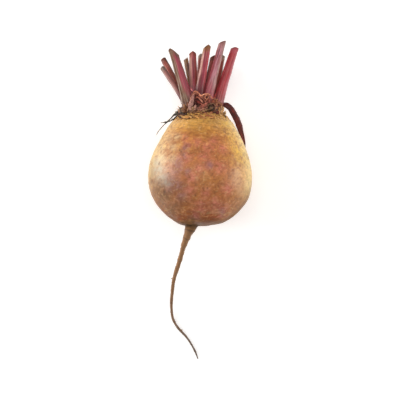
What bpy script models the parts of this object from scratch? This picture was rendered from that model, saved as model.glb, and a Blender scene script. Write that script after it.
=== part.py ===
"""A beetroot lying on its side, as pulled from the ground and trimmed.

The pieces are the swollen root with its tap root, the rough crown with its torn
leaf bases, fifteen leaf stalks cut short with a knife, one wilted stalk that
hangs down beside the root, and a wisp of dry fibre.

Metres, +Z up. The origin is the middle of the small flat spot that the root
rests on. The crown points to +Y and the tap root to -Y. The root's body, the
crown and the stalks are drawn upright, with the root's axis along +Z, its widest
section at zero and the side that ends up on top at -Y. One empty lays them down.
"""

import math

import bmesh
import bpy
import numpy as np
from mathutils import Matrix, Vector

GAP = 0.0003
WELD = 0.000001
SMOOTH_ANGLE = math.radians(45)

# How the beet lies: the crown's end is a little lower than the tap root's end.
CROWN_DROP = math.radians(7)
FLAT_DEPTH = 0.0016
FLOOR_BLOCK = 0.060

# Swollen root: radius and height, from under the crown down to the tap root's end.
ROOT_OUTLINE = (
    (0.0180, 0.0462),
    (0.0244, 0.0384),
    (0.0313, 0.0261),
    (0.0363, 0.0131),
    (0.0377, 0.0000),
    (0.0346, -0.0131),
    (0.0266, -0.0236),
    (0.0171, -0.0297),
    (0.0000, -0.0331),
)
ROOT_SEAT_HEIGHT = 0.0470
ROOT_SEAT_RADIUS = 0.0165
ROOT_SEAT_ROUNDING = 0.0003
ROOT_SIDES = 48
POINTS_A_SPAN = 3
FINE_READING = 400
LOBES = 3
LOBE_SWELL = 0.006
FURROW_DEPTH = 0.0006
FURROW_WIDTH = math.radians(12.6)
FURROW_TURNS = (0.0, math.pi)
BELLY_FULLNESS = 0.7
CROWN_SHIFT = 0.0014

# Tap root: across, along, height of its centre over the table, and radius.
TAP_ROOT = (
    (-0.0042, -0.0292, 0.0403, 0.0072),
    (-0.0062, -0.0343, 0.0401, 0.0052),
    (-0.0073, -0.0379, 0.0396, 0.0040),
    (-0.0084, -0.0404, 0.0388, 0.0030),
    (-0.0096, -0.0448, 0.0369, 0.0022),
    (-0.0111, -0.0503, 0.0333, 0.0018),
    (-0.0132, -0.0570, 0.0286, 0.0016),
    (-0.0156, -0.0641, 0.0232, 0.0014),
    (-0.0179, -0.0709, 0.0175, 0.0014),
    (-0.0197, -0.0773, 0.0122, 0.0012),
    (-0.0206, -0.0841, 0.0079, 0.0011),
    (-0.0213, -0.0909, 0.0047, 0.0010),
    (-0.0213, -0.0976, 0.0025, 0.0010),
    (-0.0204, -0.1044, 0.0015, 0.0009),
    (-0.0179, -0.1096, 0.0013, 0.0009),
    (-0.0148, -0.1136, 0.0012, 0.0009),
    (-0.0109, -0.1177, 0.0012, 0.0008),
    (-0.0079, -0.1218, 0.0011, 0.0008),
    (-0.0053, -0.1262, 0.0011, 0.0007),
    (-0.0033, -0.1303, 0.0010, 0.0006),
    (-0.0018, -0.1346, 0.0009, 0.0004),
)
TAP_ROOT_POINTS = 44
THIN_SIDES = 1

# Rootlet stubs on the tap root: how far down it from 0 to 1, turn round it, length.
ROOTLETS = (
    (0.34, math.radians(-20), 0.0026),
    (0.455, math.radians(170), 0.0036),
    (0.60, math.radians(200), 0.0022),
    (0.775, math.radians(0), 0.0028),
)
ROOTLET_RADIUS = 0.0009
ROOTLET_TAPER = 0.3
ROOTLET_SLOPE = 0.5
ROOTLET_SIDES = 6

# Crown: a low dome that the stalks stand on.
DOME_RADIUS = 0.0200
DOME_CENTRE = 0.0380
CROWN_RADIUS = 0.0163
CROWN_SIDES = 32
DOME_RINGS = 5

# Torn leaf bases round the crown.
SCALE_ROWS = 2
SCALES_A_ROW = 13
SCALE_WIDTH = 0.0068
SCALE_HEIGHT = 0.0046
SCALE_THICKNESS = 0.0011
SCALE_LEAN = math.radians(16)
SCALE_SINK = 0.0012
SCALE_SIZES = (0.75, 1.15)
SCALE_RAGGED = 0.22
SCALE_COLUMNS = 5
SCALE_ROUNDED = 0.30
SCALE_NARROWED = 0.22
SCALE_CUPPED = 0.20
SCALE_THINNED = 0.25
SCALE_ROW_STEP = (0.0004, 0.0016)
SCALE_SEED = 11
# Clear of scales, as a turn round the crown and half an angle: stump, wilted stalk, fibres.
SCALE_CLEARINGS = (
    (math.radians(-90), math.radians(34)),
    (math.radians(0), math.radians(14)),
    (math.radians(180), math.radians(17)),
)

# Torn stump of a leaf at the front of the crown: half width, half depth and walls.
STUMP_CENTRE = (0.0000, -0.0138, 0.0492)
STUMP_HALF = (0.0090, 0.0034)
STUMP_LEAN = 0.33
STUMP_FRONT_HEIGHT = 0.0022
STUMP_BACK_HEIGHT = 0.0122
STUMP_WALL = 0.0011
STUMP_SIDES = 20
STUMP_NARROWED = 0.10
STUMP_WAVE = 0.0009
STUMP_FRAY = 0.0004
# Each ring's share of the wall's height, and its share of the wall's thickness inwards.
STUMP_RINGS = ((-0.10, 0.0), (0.5, 0.0), (1.0, 0.2), (1.0, 0.9), (0.55, 1.0), (0.12, 1.3))

# Leaf stalks: base across and deep, tip across, deep and high, width at the middle,
# and how far the knife cut rises to the right and to the front for each metre.
LEAF_STALKS = (
    (-0.0100, -0.0012, -0.0266, -0.0043, 0.0812, 0.0045, -0.30, 0.20),
    (-0.0092, 0.0048, -0.0265, 0.0017, 0.0900, 0.0053, -0.10, -0.50),
    (-0.0089, -0.0078, -0.0186, -0.0157, 0.0912, 0.0082, -0.55, 0.10),
    (-0.0044, 0.0050, -0.0103, 0.0057, 0.0905, 0.0038, 0.10, -0.30),
    (-0.0036, -0.0046, -0.0058, -0.0185, 0.0904, 0.0056, 0.20, -0.35),
    (-0.0008, 0.0004, 0.0004, -0.0046, 0.0917, 0.0036, -0.20, 0.10),
    (0.0012, -0.0094, 0.0048, -0.0220, 0.0937, 0.0053, 0.10, 0.25),
    (0.0042, 0.0016, 0.0092, -0.0045, 0.0909, 0.0040, -0.10, -0.20),
    (0.0080, -0.0080, 0.0158, -0.0184, 0.0970, 0.0060, 0.45, 0.15),
    (0.0092, 0.0012, 0.0153, -0.0055, 0.0908, 0.0042, -0.10, -0.20),
    (0.0122, -0.0030, 0.0251, -0.0110, 0.0949, 0.0056, -0.10, -0.30),
    (-0.0068, 0.0104, -0.0170, 0.0165, 0.0890, 0.0050, -0.20, -0.20),
    (-0.0010, 0.0112, -0.0054, 0.0140, 0.0875, 0.0050, 0.15, -0.10),
    (0.0056, 0.0102, 0.0100, 0.0168, 0.0905, 0.0050, 0.10, 0.20),
    (0.0112, 0.0064, 0.0220, 0.0152, 0.0880, 0.0050, 0.20, -0.15),
)
STALK_STATIONS = (0.0, 0.12, 0.35, 0.6, 0.82, 1.0)
STALK_FLATNESS = 0.80
STALK_SIDE_POINTS = 7
STALK_RIM_TURN = math.radians(78)
STALK_BOW = -0.0004
RIBS = 6
RIB_DEPTH = 0.07
INNER_FULLNESS = 0.75
CHANNEL_DEPTH = 0.35
BASE_FLARE = 0.04
TIP_TAPER = 0.12

# Wilted stalk: across, along, height over the table, and width.
WILTED_STALK = (
    (0.0150, 0.0498, 0.0292, 0.0027),
    (0.0160, 0.0520, 0.0297, 0.0028),
    (0.0185, 0.0530, 0.0301, 0.0029),
    (0.0216, 0.0501, 0.0297, 0.0032),
    (0.0244, 0.0451, 0.0280, 0.0036),
    (0.0269, 0.0400, 0.0252, 0.0038),
    (0.0288, 0.0346, 0.0218, 0.0037),
    (0.0307, 0.0298, 0.0182, 0.0033),
    (0.0324, 0.0248, 0.0142, 0.0027),
    (0.0331, 0.0200, 0.0102, 0.0022),
    (0.0329, 0.0145, 0.0064, 0.0017),
    (0.0318, 0.0090, 0.0034, 0.0014),
)
WILTED_STATIONS = 20
WILTED_FLATNESS = 0.42
WILTED_SIDE_POINTS = 5

# Dry fibres at the crown's edge: across, along, height over the table, and radius.
DRY_FIBRES = (
    (
        (-0.0173, 0.0463, 0.0314, 0.0009),
        (-0.0182, 0.0455, 0.0322, 0.0012),
        (-0.0198, 0.0442, 0.0324, 0.0008),
        (-0.0222, 0.0419, 0.0318, 0.0006),
        (-0.0251, 0.0392, 0.0308, 0.0006),
        (-0.0283, 0.0358, 0.0294, 0.0005),
        (-0.0309, 0.0327, 0.0282, 0.0005),
        (-0.0324, 0.0298, 0.0270, 0.0004),
    ),
    (
        (-0.0178, 0.0452, 0.0318, 0.0008),
        (-0.0196, 0.0425, 0.0328, 0.0007),
        (-0.0220, 0.0406, 0.0324, 0.0006),
        (-0.0251, 0.0395, 0.0312, 0.0005),
        (-0.0289, 0.0392, 0.0302, 0.0004),
    ),
)
FIBRE_POINTS = 14

SKIN_COLOUR = (0.52, 0.27, 0.11)
CROWN_COLOUR = (0.20, 0.07, 0.04)
STALK_COLOUR = (0.30, 0.05, 0.06)
WILTED_COLOUR = (0.07, 0.02, 0.02)
FIBRE_COLOUR = (0.06, 0.05, 0.04)


def clear_scene():
    for obj in list(bpy.data.objects):
        bpy.data.objects.remove(obj)


def new_collection(name):
    collection = bpy.data.collections.new(name)
    bpy.context.scene.collection.children.link(collection)
    return collection


def finish(name, colour, roughness):
    """A Principled material with one colour and roughness, and no metal."""
    material = bpy.data.materials.new(name)
    material.use_nodes = True
    shader = material.node_tree.nodes["Principled BSDF"]
    shader.inputs["Base Color"].default_value = (*colour, 1.0)
    shader.inputs["Roughness"].default_value = roughness
    shader.inputs["Metallic"].default_value = 0.0
    return material


def new_object(name, mesh, collection, parent=None):
    obj = bpy.data.objects.new(name, mesh)
    collection.objects.link(obj)
    obj.parent = parent
    return obj


def dress(obj, material):
    obj.data.materials.clear()
    obj.data.materials.append(material)
    obj.data.shade_smooth()
    obj.data.set_sharp_from_angle(angle=SMOOTH_ANGLE)


def evaluated_mesh(obj):
    """The object's mesh with its modifiers or bevel worked in, and its seams welded."""
    bpy.context.view_layer.update()
    graph = bpy.context.evaluated_depsgraph_get()
    mesh = bpy.data.meshes.new_from_object(obj.evaluated_get(graph))
    work = bmesh.new()
    work.from_mesh(mesh)
    bmesh.ops.remove_doubles(work, verts=work.verts, dist=WELD)
    work.to_mesh(mesh)
    work.free()
    return mesh


def fuse(base, pieces, solver="EXACT"):
    """Join the pieces to the base object by one Boolean union, and remove them."""
    group = new_collection("joined_to_" + base.name)
    for piece in pieces:
        for collection in piece.users_collection:
            collection.objects.unlink(piece)
        group.objects.link(piece)
    union = base.modifiers.new("union", "BOOLEAN")
    union.operation = "UNION"
    union.operand_type = "COLLECTION"
    union.collection = group
    union.solver = solver
    base.data = evaluated_mesh(base)
    base.modifiers.clear()
    for piece in list(group.objects):
        bpy.data.objects.remove(piece)
    bpy.data.collections.remove(group)


def fill_hollows(obj):
    """Keep the largest closed skin of a mesh, so that no sealed hollow or scrap is left."""
    work = bmesh.new()
    work.from_mesh(obj.data)
    skins = []
    waiting = set(work.verts)
    while waiting:
        skin = set()
        edge_of_skin = {waiting.pop()}
        while edge_of_skin:
            skin |= edge_of_skin
            near = {e.other_vert(v) for v in edge_of_skin for e in v.link_edges}
            edge_of_skin = near - skin
        waiting -= skin
        skins.append(skin)
    skins.sort(key=len)
    spare = [vert for skin in skins[:-1] for vert in skin]
    bmesh.ops.delete(work, geom=spare, context="VERTS")
    work.to_mesh(obj.data)
    work.free()


def smooth_curve(points, count, closed_pole=False):
    """Read count points evenly from a Catmull-Rom curve through the given points.

    With closed_pole, the curve meets its last point level, as if mirrored there.
    """
    points = np.asarray(points, float)
    before = 2 * points[0] - points[1]
    after = 2 * points[-1] - points[-2]
    if closed_pole:
        after = points[-2] * np.array([-1.0, 1.0])
    knots = np.vstack([before, points, after])
    place = np.linspace(0, len(points) - 1, count)
    span = np.minimum(place.astype(int), len(points) - 2)
    t = (place - span)[:, None]
    a, b, c, d = (knots[span + shift] for shift in range(4))
    return 0.5 * (
        2 * b
        + (c - a) * t
        + (2 * a - 5 * b + 4 * c - d) * t**2
        + (3 * b - a - 3 * c + d) * t**3
    )


def turned_mesh(name, outline, sides, collection):
    """Turn an outline of (radius, height), from top to bottom, about the Z axis."""
    mesh = bpy.data.meshes.new(name)
    rows = [(radius, 0.0, height) for radius, height in outline]
    mesh.from_pydata(rows, [(i, i + 1) for i in range(len(rows) - 1)], [])
    obj = new_object(name, mesh, collection)
    screw = obj.modifiers.new("turn", "SCREW")
    screw.steps = sides
    screw.render_steps = sides
    screw.use_merge_vertices = True
    screw.merge_threshold = WELD * 10
    turned = evaluated_mesh(obj)
    bpy.data.objects.remove(obj)
    return turned


def tube_object(name, rows, collection):
    """A round rod along rows of (x, y, z, radius), with closed ends, as a mesh."""
    curve = bpy.data.curves.new(name, "CURVE")
    curve.dimensions = "3D"
    curve.bevel_depth = 1.0
    curve.bevel_resolution = THIN_SIDES
    curve.use_fill_caps = True
    spline = curve.splines.new("POLY")
    spline.points.add(len(rows) - 1)
    for point, (x, y, z, radius) in zip(spline.points, rows):
        point.co = (x, y, z, 1.0)
        point.radius = radius
    rod = new_object(name + "_curve", curve, collection)
    obj = new_object(name, evaluated_mesh(rod), collection)
    obj.matrix_world = rod.matrix_world
    bpy.data.objects.remove(rod)
    return obj


def lofted_mesh(name, rings):
    """Skin a stack of rings, each with as many points on its outer as its inner side.

    Point i of a ring lies across from the last point but i, so both ends are closed
    by a strip of faces between the ring's two sides.
    """
    rings = np.asarray(rings, float)
    rows, count = rings.shape[:2]
    faces = []
    for row in range(rows - 1):
        for i in range(count):
            j = (i + 1) % count
            low, high = row * count, (row + 1) * count
            faces.append((low + i, low + j, high + j))
            faces.append((low + i, high + j, high + i))
    for start in (0, (rows - 1) * count):
        for i in range(count // 2 - 1):
            strip = (i, i + 1, count - 2 - i, count - 1 - i)
            faces.append(tuple(start + k for k in strip))
    mesh = bpy.data.meshes.new(name)
    mesh.from_pydata(rings.reshape(-1, 3).tolist(), [], faces)
    work = bmesh.new()
    work.from_mesh(mesh)
    bmesh.ops.recalc_face_normals(work, faces=work.faces)
    if work.calc_volume(signed=True) < 0:
        bmesh.ops.reverse_faces(work, faces=work.faces)
    work.to_mesh(mesh)
    work.free()
    return mesh


def root_outline():
    """Radius and height down the swollen root, with a flat seat under the crown."""
    count = POINTS_A_SPAN * (len(ROOT_OUTLINE) - 1) + 1
    side = smooth_curve(ROOT_OUTLINE, count, closed_pole=True)
    side[-1, 0] = 0.0
    edge_radius = (ROOT_SEAT_RADIUS + side[0, 0]) / 2 + ROOT_SEAT_ROUNDING
    seat = (
        (0.0, ROOT_SEAT_HEIGHT),
        (ROOT_SEAT_RADIUS, ROOT_SEAT_HEIGHT),
        (edge_radius, ROOT_SEAT_HEIGHT - ROOT_SEAT_ROUNDING),
    )
    return np.vstack([seat, side])


def lying_place():
    """Where the upright parts go, so that the root's flat spot is at the origin."""
    radius, height = smooth_curve(ROOT_OUTLINE, FINE_READING, closed_pole=True).T
    reach = radius * math.cos(CROWN_DROP) + height * math.sin(CROWN_DROP)
    lowest = int(np.argmax(reach))
    along = height[lowest] * math.cos(CROWN_DROP) - radius[lowest] * math.sin(CROWN_DROP)
    return Vector((0.0, -along, reach[lowest] - FLAT_DEPTH))


def uneven(points):
    """Make a turned root uneven: it swells in lobes, has two furrows, and leans."""
    x, y, z = points.T
    turn = np.arctan2(y, x)
    low, high = ROOT_OUTLINE[-1][1], ROOT_OUTLINE[0][1]
    rise = np.clip((z - low) / (high - low), 0.0, 1.0)
    belly = np.sin(np.pi * rise) ** BELLY_FULLNESS
    swell = 1.0 + LOBE_SWELL * belly * np.sin(LOBES * turn)
    radius = np.hypot(x, y)
    for furrow in FURROW_TURNS:
        off = np.angle(np.exp(1j * (turn - furrow)))
        dip = FURROW_DEPTH * np.exp(-((off / FURROW_WIDTH) ** 2)) * belly
        swell -= dip / np.maximum(radius, FURROW_DEPTH * 10)
    moved = np.stack([x * swell, y * swell, z], axis=1)
    moved[:, 0] += CROWN_SHIFT * rise**2
    return moved


def build_root(collection, empty):
    """The swollen root and its tap root, one body, cut flat where it rests."""
    mesh = turned_mesh("root_body", root_outline(), ROOT_SIDES, collection)
    points = np.empty(len(mesh.vertices) * 3)
    mesh.vertices.foreach_get("co", points)
    mesh.vertices.foreach_set("co", uneven(points.reshape(-1, 3)).ravel())
    root = new_object("root", mesh, collection, empty)
    rows = smooth_curve(TAP_ROOT, TAP_ROOT_POINTS)
    pieces = [tube_object("tap_root", rows, collection)]
    pieces += [rootlet(rows, *values, collection) for values in ROOTLETS]
    fuse(root, pieces)
    return root


def rootlet(rows, share, turn, length, collection):
    """A short cone on the tap root, at a share of its way down and a turn round it."""
    index = int(share * (len(rows) - 1))
    place = Vector(rows[index][:3])
    along = Vector(rows[index + 1][:3]) - place
    side = along.cross(Vector((0, 0, 1))).normalized() * -1
    aim = Matrix.Rotation(turn, 3, along.normalized()) @ side
    aim = (aim + along.normalized() * ROOTLET_SLOPE).normalized()
    mesh = bpy.data.meshes.new("rootlet")
    work = bmesh.new()
    bmesh.ops.create_cone(
        work,
        cap_ends=True,
        segments=ROOTLET_SIDES,
        radius1=ROOTLET_RADIUS,
        radius2=ROOTLET_RADIUS * ROOTLET_TAPER,
        depth=length,
    )
    work.to_mesh(mesh)
    work.free()
    mesh.transform(Matrix.Translation((0, 0, length / 2)))
    obj = new_object("rootlet", mesh, collection)
    obj.rotation_mode = "QUATERNION"
    obj.rotation_quaternion = aim.to_track_quat("Z", "Y")
    obj.location = place
    return obj


def cut_resting_flat(root, cutters):
    """Cut the root level where it meets the table, with a block under it."""
    mesh = bpy.data.meshes.new("floor_block")
    work = bmesh.new()
    bmesh.ops.create_cube(work, size=FLOOR_BLOCK)
    work.to_mesh(mesh)
    work.free()
    block = new_object("floor_block", mesh, cutters)
    block.location = (0.0, 0.0, -FLOOR_BLOCK / 2)
    block.hide_render = True
    block.display_type = "WIRE"
    cut = root.modifiers.new("resting_flat", "BOOLEAN")
    cut.operation = "DIFFERENCE"
    cut.object = block
    cut.solver = "EXACT"


def dome_height(across, deep):
    return DOME_CENTRE + math.sqrt(DOME_RADIUS**2 - across**2 - deep**2)


def crown_outline():
    """Radius and height of the crown: a dome, a short wall and a flat underside."""
    bottom = ROOT_SEAT_HEIGHT + GAP
    edge = math.asin(CROWN_RADIUS / DOME_RADIUS)
    turns = np.linspace(0.0, edge, DOME_RINGS + 1)
    dome = [(DOME_RADIUS * math.sin(t), DOME_CENTRE + DOME_RADIUS * math.cos(t)) for t in turns]
    rim = CROWN_RADIUS - GAP
    return dome + [(rim, bottom), (0.0, bottom)]


def scale_rings(turn, radius, height, width, tall, ragged):
    """Three rings of one torn scale: a thin cupped blade that leans outwards."""
    steps = np.linspace(-1.0, 1.0, len(ragged))
    out = np.array([math.cos(turn), math.sin(turn), 0.0])
    across = np.array([-math.sin(turn), math.cos(turn), 0.0])
    up = np.array([0.0, 0.0, 1.0])
    rings = []
    for rise in (0.0, 0.55, 1.0):
        lean = SCALE_LEAN * rise
        lift = tall * rise * (1.0 - SCALE_ROUNDED * steps**2 * rise + ragged * rise)
        half = width / 2 * (1.0 - SCALE_NARROWED * rise)
        cup = -SCALE_CUPPED * width * steps**2
        inner = (
            np.outer(steps * half, across)
            + np.outer(radius - SCALE_SINK + cup + lift * math.sin(lean), out)
            + np.outer(height + lift * math.cos(lean), up)
        )
        thick = SCALE_THICKNESS * (1.0 - SCALE_THINNED * rise)
        outer = inner + out * (thick * math.cos(lean)) - up * (thick * math.sin(lean))
        rings.append(np.vstack([outer, inner[::-1]]))
    return rings


def apart(turn, other):
    """The angle between two turns round the crown, from zero to half a turn."""
    return abs(math.remainder(turn - other, 2 * math.pi))


def torn_scales(collection, empty):
    """Rows of torn leaf bases round the crown, each one a golden turn from the last."""
    draw = np.random.default_rng(SCALE_SEED)
    golden = math.pi * (3 - math.sqrt(5))
    scales = []
    for number in range(SCALE_ROWS * SCALES_A_ROW):
        row = number % SCALE_ROWS
        turn = number * golden
        size = draw.uniform(*SCALE_SIZES)
        ragged = draw.uniform(-SCALE_RAGGED, SCALE_RAGGED, SCALE_COLUMNS)
        radius = CROWN_RADIUS + GAP - SCALE_ROW_STEP[0] * row
        height = ROOT_SEAT_HEIGHT + SCALE_THICKNESS + 2 * GAP + SCALE_ROW_STEP[1] * row
        if any(apart(turn, clear) < half for clear, half in SCALE_CLEARINGS):
            continue
        rings = scale_rings(turn, radius, height, SCALE_WIDTH * size, SCALE_HEIGHT * size, ragged)
        name = f"scale_{number:02d}"
        scales.append(new_object(name, lofted_mesh(name, rings), collection, empty))
    return scales


def stump_height(turn):
    """Height of the torn stump's wall: low and frayed in front, high behind."""
    back = np.clip((np.sin(turn) + 0.30) / 0.95, 0.0, 1.0)
    back = back * back * (3 - 2 * back)
    wave = STUMP_WAVE * np.cos(4 * turn + 0.5) * back + STUMP_FRAY * np.sin(7 * turn)
    return STUMP_FRONT_HEIGHT + (STUMP_BACK_HEIGHT - STUMP_FRONT_HEIGHT) * back + wave


def stump_rings():
    """Rings up the outside of the stump, over its rim and down inside to its floor."""
    turn = (np.arange(STUMP_SIDES) + 0.5) * 2 * math.pi / STUMP_SIDES
    wall = stump_height(turn)
    cx, cy, cz = STUMP_CENTRE
    rings = []
    for rise, inset in STUMP_RINGS:
        lift = wall * rise
        half_x = STUMP_HALF[0] * (1.0 - STUMP_NARROWED * rise) - STUMP_WALL * inset
        half_y = STUMP_HALF[1] - STUMP_WALL * inset
        x = cx + half_x * np.cos(turn)
        y = cy + half_y * np.sin(turn) - STUMP_LEAN * lift
        rings.append(np.stack([x, y, cz + lift], axis=1))
    return rings


def build_crown(collection, empty):
    """The rough stem disc: a dome with torn leaf bases and a torn hollow stump."""
    mesh = turned_mesh("crown_dome", crown_outline(), CROWN_SIDES, collection)
    crown = new_object("crown", mesh, collection, empty)
    stump = new_object("stump", lofted_mesh("stump", stump_rings()), collection, empty)
    fuse(crown, [stump] + torn_scales(collection, empty), solver="MANIFOLD")
    fill_hollows(crown)
    return crown


def stalk_section(width):
    """Ribbed outer side and channelled inner side of a cut leaf stalk, as (side, out)."""
    turn = np.linspace(-STALK_RIM_TURN, STALK_RIM_TURN, STALK_SIDE_POINTS)
    half, deep = width / 2, width / 2 * STALK_FLATNESS
    ribs = 1.0 + RIB_DEPTH * np.cos(turn * RIBS)
    outer = np.stack([half * np.sin(turn), deep * np.cos(turn) * ribs], axis=1)
    hollow = CHANNEL_DEPTH * np.cos(turn) ** 4
    inner_deep = deep * (INNER_FULLNESS * np.sqrt(np.cos(turn)) - hollow)
    inner = np.stack([half * np.sin(turn), -inner_deep], axis=1)
    return np.vstack([outer, inner[::-1]])


def onto_plane(ring, direction, point, normal):
    """Slide each point of a ring along the direction, onto a plane."""
    reach = ((point - ring) @ normal) / (direction @ normal)
    return ring + np.outer(reach, direction)


def stalk_rings(base_x, base_y, tip_x, tip_y, tip_z, width, rise_x, rise_front):
    """Rings from the crown to the knife cut, on a slightly bowed centre line."""
    base = np.array([base_x, base_y, dome_height(base_x, base_y)])
    dome_normal = (base - (0.0, 0.0, DOME_CENTRE)) / DOME_RADIUS
    base = base + dome_normal * GAP
    tip = np.array([tip_x, tip_y, tip_z])
    lean = tip - base
    facing = np.array([lean[0], lean[1], 0.0]) / math.hypot(lean[0], lean[1])
    middle = (base + tip) / 2 + facing * STALK_BOW * 2
    cut_normal = np.array([-rise_x, rise_front, 1.0])
    cut_normal /= np.linalg.norm(cut_normal)
    rings = []
    for t in STALK_STATIONS:
        centre = (1 - t) ** 2 * base + 2 * t * (1 - t) * middle + t**2 * tip
        along = 2 * (1 - t) * (middle - base) + 2 * t * (tip - middle)
        along /= np.linalg.norm(along)
        side = np.cross(along, facing)
        side /= np.linalg.norm(side)
        out = np.cross(side, along)
        size = 1.0 + BASE_FLARE * (1 - t) ** 6 - TIP_TAPER * t**2
        section = stalk_section(width * size)
        ring = centre + np.outer(section[:, 0], side) + np.outer(section[:, 1], out)
        if t == 0.0:
            ring = onto_plane(ring, along, base, dome_normal)
        if t == 1.0:
            ring = onto_plane(ring, along, tip, cut_normal)
        rings.append(ring)
    return rings


def build_leaf_stalks(collection, empty, material):
    for number, values in enumerate(LEAF_STALKS, start=1):
        name = f"leaf_stalk_{number:02d}"
        mesh = lofted_mesh(name, stalk_rings(*values))
        dress(new_object(name, mesh, collection, empty), material)


def build_wilted_stalk(collection):
    """A limp strap that rises from the crown, bends over and hangs beside the root."""
    rows = smooth_curve(WILTED_STALK, WILTED_STATIONS)
    along = np.gradient(rows[:, :3], axis=0)
    along /= np.linalg.norm(along, axis=1)[:, None]
    side = np.cross(along, (0.0, 0.0, 1.0))
    side /= np.linalg.norm(side, axis=1)[:, None]
    up = np.cross(side, along)
    turn = np.linspace(-STALK_RIM_TURN, STALK_RIM_TURN, WILTED_SIDE_POINTS)
    rings = []
    for row, across, over in zip(rows, side, up):
        half = row[3] / 2
        outer = np.outer(half * np.sin(turn), across)
        crest = np.outer(half * WILTED_FLATNESS * np.cos(turn), over)
        rings.append(row[:3] + np.vstack([outer + crest, (outer - crest)[::-1]]))
    return new_object("wilted_stalk", lofted_mesh("wilted_stalk", rings), collection)


def build_dry_fibres(collection):
    """Dark shrivelled fibres that stand off the crown's edge, joined where they start."""
    strands = [
        tube_object(f"dry_fibre_{number}", smooth_curve(rows, FIBRE_POINTS), collection)
        for number, rows in enumerate(DRY_FIBRES)
    ]
    fibres = strands[0]
    fibres.name = "dry_fibres"
    fuse(fibres, strands[1:])
    return fibres


def main():
    clear_scene()
    parts = new_collection("beetroot")
    cutters = new_collection("cutters")
    lying = bpy.data.objects.new("lying_beet", None)
    parts.objects.link(lying)
    lying.location = lying_place()
    lying.rotation_euler = (-(math.pi / 2 + CROWN_DROP), 0.0, 0.0)

    root = build_root(parts, lying)
    cut_resting_flat(root, cutters)
    dress(root, finish("root_skin", SKIN_COLOUR, 0.55))
    dress(build_crown(parts, lying), finish("crown_tissue", CROWN_COLOUR, 0.75))
    build_leaf_stalks(parts, lying, finish("leaf_stalk", STALK_COLOUR, 0.45))
    dress(build_wilted_stalk(parts), finish("wilted_stalk", WILTED_COLOUR, 0.55))
    dress(build_dry_fibres(parts), finish("dry_fibre", FIBRE_COLOUR, 0.85))


main()
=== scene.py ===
# %% [markdown]
# # A beetroot lying on a pale table
# The real thing is a beet with an ochre skin, 75 mm across, pulled up with its thin tap
# root and trimmed with a knife, so that a fan of red leaf stalks is left on its crown.
# The solid model is already there as a fixed frame. This lesson replaces each plain
# solid with a finer surface of the same form and gives it the look of the real skin,
# stalk or fibre. Every shape is worked out with numpy from a few sizes.

# %% Load the solid model
import math

import bpy
import numpy as np
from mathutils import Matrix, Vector


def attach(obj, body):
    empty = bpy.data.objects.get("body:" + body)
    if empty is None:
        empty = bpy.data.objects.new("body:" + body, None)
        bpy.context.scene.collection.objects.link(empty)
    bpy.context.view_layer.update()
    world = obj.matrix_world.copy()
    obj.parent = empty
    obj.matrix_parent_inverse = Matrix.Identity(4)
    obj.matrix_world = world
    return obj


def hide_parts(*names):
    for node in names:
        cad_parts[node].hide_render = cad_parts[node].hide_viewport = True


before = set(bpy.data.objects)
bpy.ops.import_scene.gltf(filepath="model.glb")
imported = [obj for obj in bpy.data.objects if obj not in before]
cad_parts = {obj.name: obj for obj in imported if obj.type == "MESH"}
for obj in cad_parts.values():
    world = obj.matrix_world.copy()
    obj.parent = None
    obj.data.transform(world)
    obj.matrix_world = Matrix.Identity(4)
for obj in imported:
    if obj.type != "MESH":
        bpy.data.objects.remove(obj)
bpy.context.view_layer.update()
MM = 0.001
BODY = "root"
print("solid nodes:", len(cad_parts))

# %% [markdown]
# The photograph looks straight down on the beet, from well above it, with a long lens.
# One pixel there is as wide as the root's widest section, 75 mm, divided by its 103.4
# pixels. The lens follows from that size, the image's 400 pixels and the height of the
# camera, so that the model and the photograph line up without trial and error.

# %% Camera straight above the beet
IMAGE_PIXELS = 400
ROOT_WIDTH = 75 * MM
ROOT_WIDTH_PIXELS = 103.4
MIDDLE_HEIGHT = 36.6 * MM
CAMERA_PLACE = (-0.22 * MM, -16.9 * MM, 1650 * MM)
SENSOR = 36.0

camera_data = bpy.data.cameras.new("camera_above")
camera_data.sensor_width = SENSOR
view_width = IMAGE_PIXELS * ROOT_WIDTH / ROOT_WIDTH_PIXELS
camera_data.lens = SENSOR * (CAMERA_PLACE[2] - MIDDLE_HEIGHT) / view_width
camera = bpy.data.objects.new("camera_above", camera_data)
camera.location = CAMERA_PLACE
bpy.context.scene.collection.objects.link(camera)
bpy.context.scene.camera = camera
print("lens in mm:", round(camera_data.lens, 1))

# %% [markdown]
# A product photograph on white has light from all round and no hard shadow. A white
# table as wide as a room, a white world and one large lamp overhead give that. The
# photograph also shows a broad soft shine on each flank of the root, which tells that
# two large soft boxes stood beside the table, almost level with it.

# %% Table, world and soft boxes
TABLE_HALF = 3.0
WORLD_STRENGTH = 0.42


def soft_box(name, place, aim, size, power):
    """A square lamp at a place, turned to face a point, and left out of the camera's view."""
    lamp = bpy.data.lights.new(name, "AREA")
    lamp.shape = "SQUARE"
    lamp.size = size
    lamp.energy = power
    box = bpy.data.objects.new(name, lamp)
    box.location = place
    box.rotation_mode = "QUATERNION"
    box.rotation_quaternion = (Vector(aim) - Vector(place)).to_track_quat("-Z", "Y")
    box.visible_camera = False
    bpy.context.scene.collection.objects.link(box)
    return box


table_mesh = bpy.data.meshes.new("pale_table")
corners = [(-1, -1), (1, -1), (1, 1), (-1, 1)]
table_mesh.from_pydata([(x * TABLE_HALF, y * TABLE_HALF, 0.0) for x, y in corners], [], [(0, 1, 2, 3)])
table = bpy.data.objects.new("pale_table", table_mesh)
bpy.context.scene.collection.objects.link(table)

world = bpy.data.worlds.new("white_room")
world.use_nodes = True
background = world.node_tree.nodes["Background"]
background.inputs["Color"].default_value = (1.0, 1.0, 1.0, 1.0)
background.inputs["Strength"].default_value = WORLD_STRENGTH
bpy.context.scene.world = world
bpy.context.scene.view_settings.view_transform = "Standard"

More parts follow.
